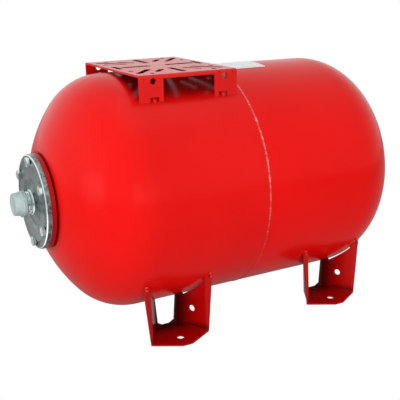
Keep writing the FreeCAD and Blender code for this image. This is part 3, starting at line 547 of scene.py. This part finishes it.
def label_film():
    """White film with a thin grey frame and rows of dashes, and nothing written on it.

    u and v run from 0 to 1 across the film, and edge from 0 at its middle to 0.5 at its rim.
    """
    material, shader, start = new_finish("label_film")
    place = place_of(start)
    low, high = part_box("rating_label")
    u = (part(place, ALONG) - low.x) / (high.x - low.x)
    v = (part(place, ACROSS) - low.y) / (high.y - low.y)
    edge = abs(u - 0.5).sum("MAXIMUM", abs(v - 0.5))
    frame_line = between(edge, 0.448, 0.452) * (1.0 - between(edge, 0.462, 0.466))
    inside = 1.0 - between(edge, 0.40, 0.405)
    rows = 1.0 - between(abs((v * DASH_ROWS).sum("FRACT") - 0.5), 0.05, 0.09)
    dashes = rows * inside * between(grain(start, place, 160, 1.0), 0.50, 0.54)
    paper = mixed(grain(start, place, 60, 3.0), PAPER_DULL, PAPER_CLEAN)
    ink = frame_line.sum("MAXIMUM", dashes * 0.7) * 0.75
    feed(shader, Base_Color=mixed(ink, paper, INK_GREY),
         Roughness=0.35 + grain(start, place, 500, 2.0) * 0.15,
         Normal=bumped(grain(start, place, 180, 3.0), 0.08, 0.5 * MM))
    return material


wear(nodes["rating_label"], label_film())
print("label wears", nodes["rating_label"].data.materials[0].name)

# %% [markdown]
# ## Finishing a mesh
# Each new piece is worked on as a bmesh and then becomes an object that rides on a body of the
# model. The object stays at the origin, with its place in its mesh.

# %% From bmesh to piece
def finished(work, name, body, finish):
    """Turn a bmesh into a smooth-shaded piece that rides on a body."""
    for face in work.faces:
        face.smooth = True
    mesh = bpy.data.meshes.new(name)
    work.to_mesh(mesh)
    work.free()
    piece = bpy.data.objects.new(name, mesh)
    bpy.context.scene.collection.objects.link(piece)
    wear(piece, finish)
    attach(piece, body)
    return piece


EDGE_SEGMENTS = 2
MOST_WEIGHT = 100


def soften_edges(piece, width, angle):
    """Round the piece's sharp edges, and keep its large faces flat in the light."""
    bevel = piece.modifiers.new("rounded_edges", "BEVEL")
    bevel.width = width
    bevel.segments = EDGE_SEGMENTS
    bevel.limit_method = "ANGLE"
    bevel.angle_limit = math.radians(angle)
    flats = piece.modifiers.new("flat_faces", "WEIGHTED_NORMAL")
    flats.weight = MOST_WEIGHT
    flats.keep_sharp = True


# %% [markdown]
# ## Sheet-metal edges
# A punched sheet has a small rounding on its edges where the enamel pulls back, and that rounding is
# what catches the light along a foot or a slot. The solids have sharp edges, so the platform and the
# feet are copied, their loose triangles joined, and a narrow bevel put on every fold and cut.

# %% Rounded copies of the platform and the feet
SHEET_EDGE = 0.45 * MM
SHEET_FOLD = 28
SAME_POINT = 0.002 * MM
SAME_PLANE = math.radians(0.3)


def rounded_sheet(node, name, finish):
    """A copy of a sheet-metal solid with rounded edges, in place of the solid."""
    work = bmesh.new()
    work.from_mesh(nodes[node].data)
    bmesh.ops.remove_doubles(work, verts=work.verts, dist=SAME_POINT)
    bmesh.ops.dissolve_limit(work, angle_limit=SAME_PLANE, use_dissolve_boundaries=False,
                             verts=work.verts, edges=work.edges, delimit=set())
    piece = finished(work, name, "tank", finish)
    soften_edges(piece, SHEET_EDGE, SHEET_FOLD)
    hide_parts(node)
    return piece


platform = rounded_sheet("pump_platform", "platform_sheet", sheet_red)
feet = {place: rounded_sheet(f"foot_{place}", f"foot_sheet_{place}", foot_red_shaded)
        for place in ("front_near", "front_far", "rear_near", "rear_far")}
for piece in (platform, *feet.values()):
    print(piece.name, len(piece.data.polygons), "faces")

# %% [markdown]
# ## The girth weld
# The two drawn halves of the tank are joined by one weld around the middle. A machine lays it as a
# string of overlapping drops, so it is a low bead with fine ripples across it, and its width and
# height wander a little. Bump in a finish wouldn't show in its profile, so the bead is a mesh: an
# oval section, half sunk in the tank, is spun about the axis, and its points are then moved by a
# wave for the ripples and by slow noise for the wandering.

# %% The bead's finish, with a painted highlight
BEAD_RED = colour(0.60, 0.004, 0.003)
BEAD_PAINTED_HIGHLIGHT = colour(0.80, 0.30, 0.26)
HIGHLIGHT_EVERYWHERE = 0.3
HIGHLIGHT_LOW_DOWN = 0.1
HIGHLIGHT_LOST_ON_TOP = 0.4


def bead_enamel():
    """Enamel on a weld bead, with a ragged painted highlight on its crests, weaker low down and on top.
    Its tone is a guess.
    """
    material, shader, start = new_finish("bead_red_painted_highlight")
    place = place_of(start)
    ragged = grain(start, place, 260, 3.0, 0.7)
    height = part(place, UP)
    crest = fade_in(distance_from_axis(place), TANK_RADIUS, 0.38, 0.62)
    patches = between(ragged, 0.40, 0.66) * (1 - HIGHLIGHT_EVERYWHERE) + HIGHLIGHT_EVERYWHERE
    waist = fade_in(height, AXIS_HEIGHT, -75, -10) * (1 - HIGHLIGHT_LOW_DOWN) + HIGHLIGHT_LOW_DOWN
    top = 1.0 - fade_in(height, AXIS_HEIGHT, 108, 158) * HIGHLIGHT_LOST_ON_TOP
    # A highlight painted in pale colour on the crests.
    painted_highlight = crest * patches * waist * top
    feed(shader, Base_Color=mixed(painted_highlight, BEAD_RED, BEAD_PAINTED_HIGHLIGHT),
         Roughness=0.16 + ragged * 0.2, Normal=bumped(ragged, 0.4, 0.8 * MM))
    fix(shader, Specular_IOR_Level=0.5)
    return material


bead_red_painted_highlight = bead_enamel()
print("bead wears", bead_red_painted_highlight.name)

# %% Girth bead
BEAD_STEPS = 1440
BEAD_CORNERS = 12
BEAD_HALF_WIDTH = 2.1 * MM
BEAD_HEIGHT = 0.65 * MM
BEAD_TOP = 0.7 * MM
RIPPLES = round(2 * math.pi * TANK_RADIUS / (2.6 * MM))
BEAD_SHARE = 0.85
RIPPLE_SHARE = 0.14
DROP_WAVES = 400
DROP_SHARE = 0.25
WANDER_WAVES = 60
WANDER_HEIGHT = 0.3
WANDER_WIDTH = 0.35
WANDER_SIDEWAYS = 0.3 * MM
ALONG_TANK = Vector((1, 0, 0))


def bead_hoop():
    """A smooth oval bead, spun about the tank's axis."""
    work = bmesh.new()
    centre = Vector((middle("girth_weld").x, 0, AXIS_HEIGHT))
    bmesh.ops.create_circle(work, cap_ends=False, segments=BEAD_CORNERS, radius=1.0)
    for vert in work.verts:
        width, rise = vert.co.x * BEAD_HALF_WIDTH, vert.co.y * BEAD_HEIGHT
        vert.co = centre + Vector((width, 0, TANK_RADIUS + rise))
    bmesh.ops.spin(work, geom=work.verts[:] + work.edges[:], cent=centre, axis=ALONG_TANK,
                   dvec=(0, 0, 0), angle=2 * math.pi, steps=BEAD_STEPS, space=Matrix(),
                   use_merge=True, use_normal_flip=False, use_duplicate=False)
    bmesh.ops.recalc_face_normals(work, faces=work.faces)
    return work, centre


def girth_bead():
    """A rippled bead around the tank, in place of the plain one."""
    work, centre = bead_hoop()
    for vert in work.verts:
        out = Vector((0, vert.co.y, vert.co.z - AXIS_HEIGHT))
        wander = noise.noise(out * WANDER_WAVES)
        ripple = math.sin(math.atan2(out.y, out.z) * RIPPLES) * RIPPLE_SHARE
        drop = noise.noise(out * DROP_WAVES) * DROP_SHARE
        rise = out.length - TANK_RADIUS
        if rise > 0:
            rise = min(rise * (BEAD_SHARE + (ripple + drop) + wander * WANDER_HEIGHT), BEAD_TOP)
            out = out.normalized() * (TANK_RADIUS + rise)
        along = (vert.co.x - centre.x) * (1 + wander * WANDER_WIDTH) + wander * WANDER_SIDEWAYS
        vert.co = Vector((centre.x + along, out.y, AXIS_HEIGHT + out.z))
    piece = finished(work, "girth_bead", "tank", bead_red_painted_highlight)
    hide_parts("girth_weld")
    return piece


bead = girth_bead()
print("girth bead:", len(bead.data.polygons), "faces")

# %% [markdown]
# ## Weld lumps
# The legs of the platform and the tops of the feet are tacked to the tank by hand, which leaves a
# short lumpy bead at each joint. A chain of drops could be laid one by one, but a sphere that is
# stretched, turned so that it lies on the tank and roughened with noise looks the same at this size.

# %% One lump
LUMP_ROUGHNESS = 0.35
LUMP_WAVES = 1.7
LUMP_SHIFT = 900


def lump(work, place, size):
    """One lumpy bead on the tank, with its half sizes around the tank, along it and outward."""
    made = bmesh.ops.create_icosphere(work, subdivisions=3, radius=1.0)
    out = Vector((0, place.y, place.z - AXIS_HEIGHT)).normalized()
    side = ALONG_TANK.cross(out).normalized()
    basis = Matrix((side, out.cross(side), out)).transposed()
    for vert in made["verts"]:
        rough = 1 + noise.noise(vert.co * LUMP_WAVES + place * LUMP_SHIFT) * LUMP_ROUGHNESS
        local = Vector([corner * half * MM for corner, half in zip(vert.co, size)]) * rough
        vert.co = place + basis @ local


# %% Lumps at the platform's legs
LEG_NOTCH = 5.4 * MM
LEG_MIDDLE = 1.5 * MM
LEG_RAISE = 1.0 * MM
LEG_LUMP = (5.0, 2.6, 2.6)


def weld_lumps():
    """A bead in the notch of each platform leg, in place of the plain plugs."""
    work = bmesh.new()
    low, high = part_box("platform_welds")
    for x in (low.x + LEG_NOTCH, high.x - LEG_NOTCH):
        for sign in (-1, 1):
            y = sign * (radius_across("pump_platform") - LEG_MIDDLE)
            z = AXIS_HEIGHT + math.sqrt(TANK_RADIUS ** 2 - y ** 2) + LEG_RAISE
            lump(work, Vector((x, y, z)), LEG_LUMP)
    piece = finished(work, "platform_tacks", "tank", sheet_red)
    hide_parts("platform_welds")
    return piece


platform_tacks = weld_lumps()
print("platform tacks:", len(platform_tacks.data.polygons), "faces")

# %% Lumps on the feet
LIP_TOP = 143 * MM
LIP_INSET = 4 * MM
LIP_SINK = 0.4 * MM
RUN_OUT = 1.5 * MM
RUN_DOWN = 4 * MM
LIP_LUMP = (3.6, 2.4, 2.0)
LIP_RUN = (2.2, 1.8, 2.0)


def foot_lumps():
    """Two lumps on each lip of a foot, where its top meets the tank."""
    work = bmesh.new()
    for end in ("front", "rear"):
        for side, sign in (("near", -1), ("far", 1)):
            low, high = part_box(f"foot_{end}_{side}")
            y = sign * LIP_TOP
            z = AXIS_HEIGHT - math.sqrt(TANK_RADIUS ** 2 - y ** 2) - LIP_SINK
            for x in (low.x + LIP_INSET, high.x - LIP_INSET):
                lump(work, Vector((x, y, z)), LIP_LUMP)
                lump(work, Vector((x, y + sign * RUN_OUT, z - RUN_DOWN)), LIP_RUN)
    return finished(work, "foot_tacks", "tank", bead_red_painted_highlight)


foot_tacks = foot_lumps()
print("foot tacks:", len(foot_tacks.data.polygons), "faces")

# %% [markdown]
# ## The pressed flange and its hub
# The flange plate is pressed from sheet: its rim is rolled back to a rounded edge with a fine groove
# inside it, its middle is sunk by a soft step, and from there it rises in a low cone to the hub. The
# hub collar is turned, with a groove behind its front edge. Each is half of its own cross-section,
# spun about the tank's axis, because a section is easy to read and to change. It is written as pairs
# of depth behind the front face and radius, in millimetres.

# %% Spinning a section about the tank's axis
TURNED_STEPS = 144
TURNED_CREASE = math.radians(38)


def turned(name, section, face, body, finish):
    """A ring with a closed section of (depth, radius) pairs in millimetres, behind a face."""
    work = bmesh.new()
    corners = [work.verts.new((face + depth * MM, 0, AXIS_HEIGHT + radius * MM))
               for depth, radius in section]
    loop = [work.edges.new(pair) for pair in zip(corners, corners[1:] + corners[:1])]
    bmesh.ops.spin(work, geom=corners + loop, cent=(0, 0, AXIS_HEIGHT), axis=ALONG_TANK, dvec=(0, 0, 0),
                   angle=2 * math.pi, steps=TURNED_STEPS, space=Matrix(), use_merge=True,
                   use_normal_flip=False, use_duplicate=False)
    bmesh.ops.remove_doubles(work, verts=work.verts, dist=0.001 * MM)
    bmesh.ops.recalc_face_normals(work, faces=work.faces)
    piece = finished(work, name, body, finish)
    piece.data.set_sharp_from_angle(angle=TURNED_CREASE)
    return piece


# %% The flange plate's section
FLANGE_RADIUS = radius_across("neck_ring") / MM
HUB_RADIUS = radius_across("water_nipple") / MM + 0.1
SINK = (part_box("hub_collar")[1].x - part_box("flange_plate")[0].x) / MM
STEP_RADIUS = 38.0
HUB_RISE = -1.8
SHEET = 3.0

CONE = [(HUB_RISE + depth, HUB_RADIUS + out)
        for depth, out in ((0.0, 0.0), (0.0, 3.0), (0.4, 4.2), (1.2, 6.4))]
STEP = [(SINK * share, STEP_RADIUS + out)
        for share, out in ((0.4, -9.0), (0.75, -5.0), (0.9, -3.0), (0.9, -1.8), (0.5, -0.2))]
SHOULDER = [(depth, STEP_RADIUS + out) for depth, out in ((0.15, 1.4), (0.0, 2.4), (0.0, 3.2))]
GROOVE = [(depth, FLANGE_RADIUS - inset)
          for depth, inset in ((0.0, 14.0), (0.0, 13.2), (0.2, 12.4), (1.0, 10.4), (1.2, 9.6),
                               (1.2, 6.4), (1.0, 5.7), (0.1, 4.6))]
ROLLED_RIM = [(depth, FLANGE_RADIUS - inset)
              for depth, inset in ((-0.1, 4.0), (-0.1, 2.8), (0.25, 1.8), (1.0, 0.8), (2.2, 0.15),
                                   (3.4, 0.0))]
CUT_EDGE = ((1.7, 0.1), (1.4, 0.4), (1.0, 0.1), (0.6, 0.0), (0.15, 0.2), (0.0, 0.6))
print(f"middle sunk by {SINK:.2f} mm, flange radius {FLANGE_RADIUS:.1f} mm")


# %% Flange disc
def flange_disc():
    """The pressed plate with its sunk middle, its groove and its rolled rim."""
    low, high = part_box("flange_plate")
    thick = (high.x - low.x) / MM
    edge = [(thick - rise, FLANGE_RADIUS - inset) for rise, inset in CUT_EDGE]
    back = [(thick, FLANGE_RADIUS - SHEET), (SHEET, FLANGE_RADIUS - SHEET), (SHEET, STEP_RADIUS + 3.0),
            (SHEET + SINK, STEP_RADIUS - 1.0), (SHEET + SINK, HUB_RADIUS)]
    section = CONE + STEP + SHOULDER + GROOVE + ROLLED_RIM + edge + back
    piece = turned("flange_disc", section, low.x, "tank", flange_zinc)
    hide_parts("flange_plate")
    return piece


disc = flange_disc()
print("flange disc:", len(disc.data.polygons), "faces")


# %% Hub ring
def hub_ring():
    """The turned collar at the foot of the nipple, with rounded edges and a groove."""
    low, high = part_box("hub_collar")
    tall = (high.x - low.x) / MM
    wide = radius_across("hub_collar") / MM
    front = [(0.5, HUB_RADIUS), (0.0, HUB_RADIUS + 0.3), (0.0, wide - 2.0), (0.2, wide - 1.2),
             (0.6, wide - 0.5), (1.3, wide)]
    groove = [(1.7, wide), (1.8, wide - 0.5), (tall, wide - 0.5), (tall, HUB_RADIUS)]
    piece = turned("hub_ring", front + groove, low.x, "tank", bright_zinc)
    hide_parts("hub_collar")
    return piece


hub = hub_ring()
print("hub ring:", len(hub.data.polygons), "faces")

# %% [markdown]
# ## The transit cap
# A thin push-on cap keeps dirt out of the thread. It tapers a little toward its closed end, and the
# last few millimetres at its mouth are ridged, so that a hand can pull it off. Its bore stays wider
# than the nipple until it is past the nipple's end, and only then narrows. It is spun from a section
# as the flange is, because every ridge runs all the way around.

# %% Transit cap
RIDGES = 4
RIDGE_PITCH = 1.25
RIDGE_HEIGHT = 0.3
CAP_TAPER = 2.3
CAP_WALL = 1.3
CAP_PLAY = 0.35


def cap_ridges(start, mouth):
    """The ridges of the mouth as (depth, radius) pairs, each with a root and a flat crest."""
    ridges = []
    for ridge in range(RIDGES):
        ridges += [(start + ridge * RIDGE_PITCH, mouth - RIDGE_HEIGHT - 0.1),
                   (start + (ridge + 0.35) * RIDGE_PITCH, mouth - 0.05),
                   (start + (ridge + 0.65) * RIDGE_PITCH, mouth - 0.05)]
    return ridges


def transit_cap():
    """The cap with its ridged mouth, as one spun section."""
    low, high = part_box("thread_cap")
    tall = (high.x - low.x) / MM
    mouth = radius_across("thread_cap") / MM
    tip = mouth - CAP_TAPER
    past_nipple = (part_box("water_nipple")[0].x - low.x) / MM - 1.0
    start = tall - RIDGES * RIDGE_PITCH
    outside = [(0.25, 0.0), (0.15, tip - 2.6), (0.0, tip - 2.0), (0.1, tip - 0.9), (0.4, tip - 0.3),
               (1.1, tip), (start - 0.3, mouth - 0.9)]
    lip = [(tall - 0.2, mouth - RIDGE_HEIGHT), (tall, mouth - RIDGE_HEIGHT - 0.4)]
    bore = [(tall, HUB_RADIUS + CAP_PLAY), (start, HUB_RADIUS + CAP_PLAY),
            (past_nipple, HUB_RADIUS + 0.1), (CAP_WALL, tip - CAP_WALL), (CAP_WALL, 0.0)]
    section = outside + cap_ridges(start, mouth) + lip + bore
    piece = turned("transit_cap", section, low.x, "cap", milky)
    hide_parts("thread_cap")
    return piece


cap = transit_cap()
print("transit cap:", len(cap.data.polygons), "faces")

# %% [markdown]
# ## Screws
# Six hexagon screws hold the flange. A cold-forged head has its corners turned off by a cone on the
# outer face. The head could be a plain hexagon cut by a cone, but an operator for each step keeps
# its faces few: a hexagon with each side cut in four is raised once, and the ring of points on top is
# lowered by as much as it lies outside the round face. The top is then inset twice, first to a round
# edge and then to a shallow dish.

# %% Hexagon outline
SCREW_FLATS = 13 * MM
SCREW_HEIGHT = 5.3 * MM
SCREW_SIDE_CUTS = 3


def hexagon_face(work, radius):
    """A hexagon at height zero, each side cut in four."""
    made = bmesh.ops.create_circle(work, cap_ends=True, segments=6, radius=radius)
    edges = list({edge for vert in made["verts"] for edge in vert.link_edges})
    bmesh.ops.subdivide_edges(work, edges=edges, cuts=SCREW_SIDE_CUTS, use_grid_fill=False)


# %% Screw head
CORNER_CUT = math.tan(math.radians(30))
ROUND_FACE = 0.97
FACE_STEP = 0.1 * MM
ROUND_EDGE = 0.86
EDGE_INSET = 0.9 * MM
DISH_INSET = 1.6 * MM
DISH_DEPTH = 0.45 * MM


def screw_head(turned_by):
    """One head with its axis on Z and its seat at zero, turned by an angle."""
    work = bmesh.new()
    flat = SCREW_FLATS / 2
    hexagon_face(work, flat / math.cos(math.pi / 6))
    raised = bmesh.ops.extrude_face_region(work, geom=work.faces[:])["geom"]
    for vert in (item for item in raised if isinstance(item, bmesh.types.BMVert)):
        outside = math.hypot(vert.co.x, vert.co.y) - flat * ROUND_FACE
        vert.co.z = SCREW_HEIGHT - FACE_STEP - max(outside, 0.0) * CORNER_CUT
    top = [item for item in raised if isinstance(item, bmesh.types.BMFace)]
    bmesh.ops.inset_region(work, faces=top, thickness=EDGE_INSET, depth=0.0, use_even_offset=True)
    for vert in top[0].verts:
        away = math.hypot(vert.co.x, vert.co.y)
        vert.co.x *= flat * ROUND_EDGE / away
        vert.co.y *= flat * ROUND_EDGE / away
        vert.co.z = SCREW_HEIGHT
    bmesh.ops.inset_region(work, faces=top, thickness=DISH_INSET, depth=-DISH_DEPTH,
                           use_even_offset=True)
    bmesh.ops.recalc_face_normals(work, faces=work.faces)
    bmesh.ops.rotate(work, verts=work.verts, cent=(0, 0, 0), matrix=Matrix.Rotation(turned_by, 3, "Z"))
    return work


# %% Six screws around the flange
FACING_WATER = Matrix.Rotation(-math.pi / 2, 3, "Y")
TURN_STEP = 1.7
SCREW_EDGE = 0.25 * MM
SCREW_FOLD = 20


def flange_screws():
    """Six heads around the flange, each turned to its own angle, with the solids' places."""
    whole = bmesh.new()
    low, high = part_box("flange_screws")
    circle = (high.z - low.z) / 2 - SCREW_FLATS / math.sqrt(3)
    seat = low.x + SCREW_HEIGHT
    for index in range(6):
        angle = index * SCREW_SPACING
        work = screw_head(angle * TURN_STEP)
        place = Vector((seat, -circle * math.sin(angle), AXIS_HEIGHT + circle * math.cos(angle)))
        bmesh.ops.rotate(work, verts=work.verts, cent=(0, 0, 0), matrix=FACING_WATER)
        bmesh.ops.translate(work, verts=work.verts, vec=place)
        head = bpy.data.meshes.new("head")
        work.to_mesh(head)
        work.free()
        whole.from_mesh(head)
        bpy.data.meshes.remove(head)
    piece = finished(whole, "hexagon_screws", "tank", bright_zinc)
    soften_edges(piece, SCREW_EDGE, SCREW_FOLD)
    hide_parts("flange_screws")
    return piece


screws = flange_screws()
print("screws:", len(screws.data.polygons), "faces")

# %% [markdown]
# ## Floor and backdrop
# The vessel stands on a white floor that runs into a white backdrop. A white floor could be had with
# more light, but that would bleach the enamel, so the floor glows for the camera instead, which also
# hides the vessel's shadow. It glows more weakly for shine and for what is seen through a surface,
# which keeps the underside of the tank from turning pale.

# %% Floor
FLOOR_GLOW = 1.0
FLOOR_GLOW_MIRRORED = 0.22
FLOOR_HALF_SIZE = 6.0
FLOOR_DARKEST, FLOOR_PALEST = 0.56, 0.60
CAMERA_RAY, GLOSSY_RAY, THROUGH_RAY = 0, 3, 6


def ray(start, kind):
    """1 where a surface is met by that kind of ray, and 0 elsewhere."""
    return start.node("ShaderNodeLightPath", output=kind)


def pale_floor():
    """A white floor that glows for the camera, and more weakly in reflections."""
    material, shader, start = new_finish("pale_floor")
    tree = material.node_tree
    mirrored = ray(start, GLOSSY_RAY).sum("MAXIMUM", ray(start, THROUGH_RAY))
    seen = (ray(start, CAMERA_RAY) * FLOOR_GLOW).sum("MAXIMUM", mirrored * FLOOR_GLOW_MIRRORED)
    speckle = grain(start, place_of(start), 20, 2.0)
    feed(shader, Base_Color=mixed(speckle, grey(FLOOR_DARKEST), grey(FLOOR_PALEST)))
    fix(shader, Roughness=0.9)
    glow = start.node("ShaderNodeEmission", {}, {"Color": grey(1), "Strength": 1.0})
    both = start.node("ShaderNodeMixShader", {}, {0: seen, 1: Signal(tree, shader.outputs[0]), 2: glow})
    tree.links.new(both.socket, tree.nodes["Material Output"].inputs["Surface"])
    return material


def make_floor():
    """A square of floor, far larger than the view."""
    work = bmesh.new()
    bmesh.ops.create_grid(work, x_segments=1, y_segments=1, size=FLOOR_HALF_SIZE)
    mesh = bpy.data.meshes.new("floor")
    work.to_mesh(mesh)
    work.free()
    floor = bpy.data.objects.new("floor", mesh)
    bpy.context.scene.collection.objects.link(floor)
    wear(floor, pale_floor())
    return floor


floor = make_floor()
print("floor:", round(2 * FLOOR_HALF_SIZE), "m square")

# %% [markdown]
# ## Sky and lamps
# The sky is white for what the camera sees and for shine, and much dimmer as a light. Square soft
# lamps do the lighting: two on the water side, two in front, of which the left one is the strongest
# of all, one above and one behind. The four side lamps and the one behind leave the floor unlit, and
# no lamp shows in the enamel's shine. Bare zinc looks dull without something bright to mirror, so
# two cards about as bright as white paper are added, and only the zinc pieces see them.

# %% Sky
SKY_SEEN = 1.0
SKY_LIGHT = 0.24


def make_sky(seen, light):
    """White for the camera and for reflections, dimmer as a light."""
    world = bpy.data.worlds.new("sky")
    bpy.context.scene.world = world
    world.use_nodes = True
    tree = world.node_tree
    start = Signal(tree)
    shine = ray(start, CAMERA_RAY).sum("MAXIMUM", ray(start, GLOSSY_RAY))
    back = shine.sum("MAXIMUM", ray(start, THROUGH_RAY))
    sky = tree.nodes["Background"]
    sky.inputs["Color"].default_value = grey(1)
    tree.links.new((light + back * (seen - light)).socket, sky.inputs["Strength"])


# %% Soft lamps
unlit_by_side_lamps = bpy.data.collections.new("unlit_by_side_lamps")
unlit_by_side_lamps.objects.link(floor)
unlit_by_side_lamps.collection_objects[0].light_linking.link_state = "EXCLUDE"


def softbox(name, place, aim, width, height, power, on_floor=True):
    """A large rectangular lamp that points at a place, and may leave the floor unlit."""
    lamp = bpy.data.lights.new(name, "AREA")
    lamp.shape = "RECTANGLE"
    lamp.size = width
    lamp.size_y = height
    lamp.energy = power
    holder = bpy.data.objects.new(name, lamp)
    holder.location = place
    holder.rotation_euler = (Vector(aim) - Vector(place)).to_track_quat("-Z", "Y").to_euler()
    holder.visible_glossy = False
    if not on_floor:
        holder.light_linking.receiver_collection = unlit_by_side_lamps
    bpy.context.scene.collection.objects.link(holder)
    return holder


# %% Small cards that only the zinc mirrors
ZINC_PIECES = [disc, hub, screws, nodes["water_nipple"]]


def card(name, place, aim, width, height, brightness):
    """A pale card, seen only in the shine of the zinc pieces."""
    holder = softbox(name, place, aim, width, height, brightness * math.pi * width * height)
    seen_by = bpy.data.collections.new(name + "_is_seen_by")
    for piece in ZINC_PIECES:
        seen_by.objects.link(piece)
    holder.light_linking.receiver_collection = seen_by
    holder.visible_glossy = True
    holder.visible_diffuse = False
    holder.visible_camera = False


card("rim_card", (-0.68, -0.12, 0.02), (-0.68, -0.12, 1.0), 0.60, 0.46, 1.25)
card("disc_card", (-0.44, 0.30, 0.08), (-0.31, -0.04, 0.2), 0.05, 0.16, 0.8)
print("cards for", len(ZINC_PIECES), "zinc pieces")

# %% Lamps
LAMP_AIM = (0, 0, 0.2)
LAMPS = (
    # name, place, side in metres, power in watts, lights the floor
    ("water_side_lamp", (-2.5, -0.2, 0.4), 0.8, 25, False),
    ("water_side_high_lamp", (-2.0, 0.5, 1.0), 0.8, 5, False),
    ("front_lamp", (-0.9, -2.4, 0.6), 0.8, 40, False),
    ("front_right_lamp", (0.2, -2.5, 0.6), 0.8, 9, False),
    ("top_lamp", (0.1, -0.2, 2.4), 1.6, 13, True),
    ("back_lamp", (0.9, 2.3, 1.3), 1.2, 18, False),
)
make_sky(SKY_SEEN, SKY_LIGHT)
for name, place, side, power, on_floor in LAMPS:
    softbox(name, place, LAMP_AIM, side, side, power, on_floor)
bpy.context.scene.view_settings.view_transform = "Standard"
print("lamps:", len(LAMPS))
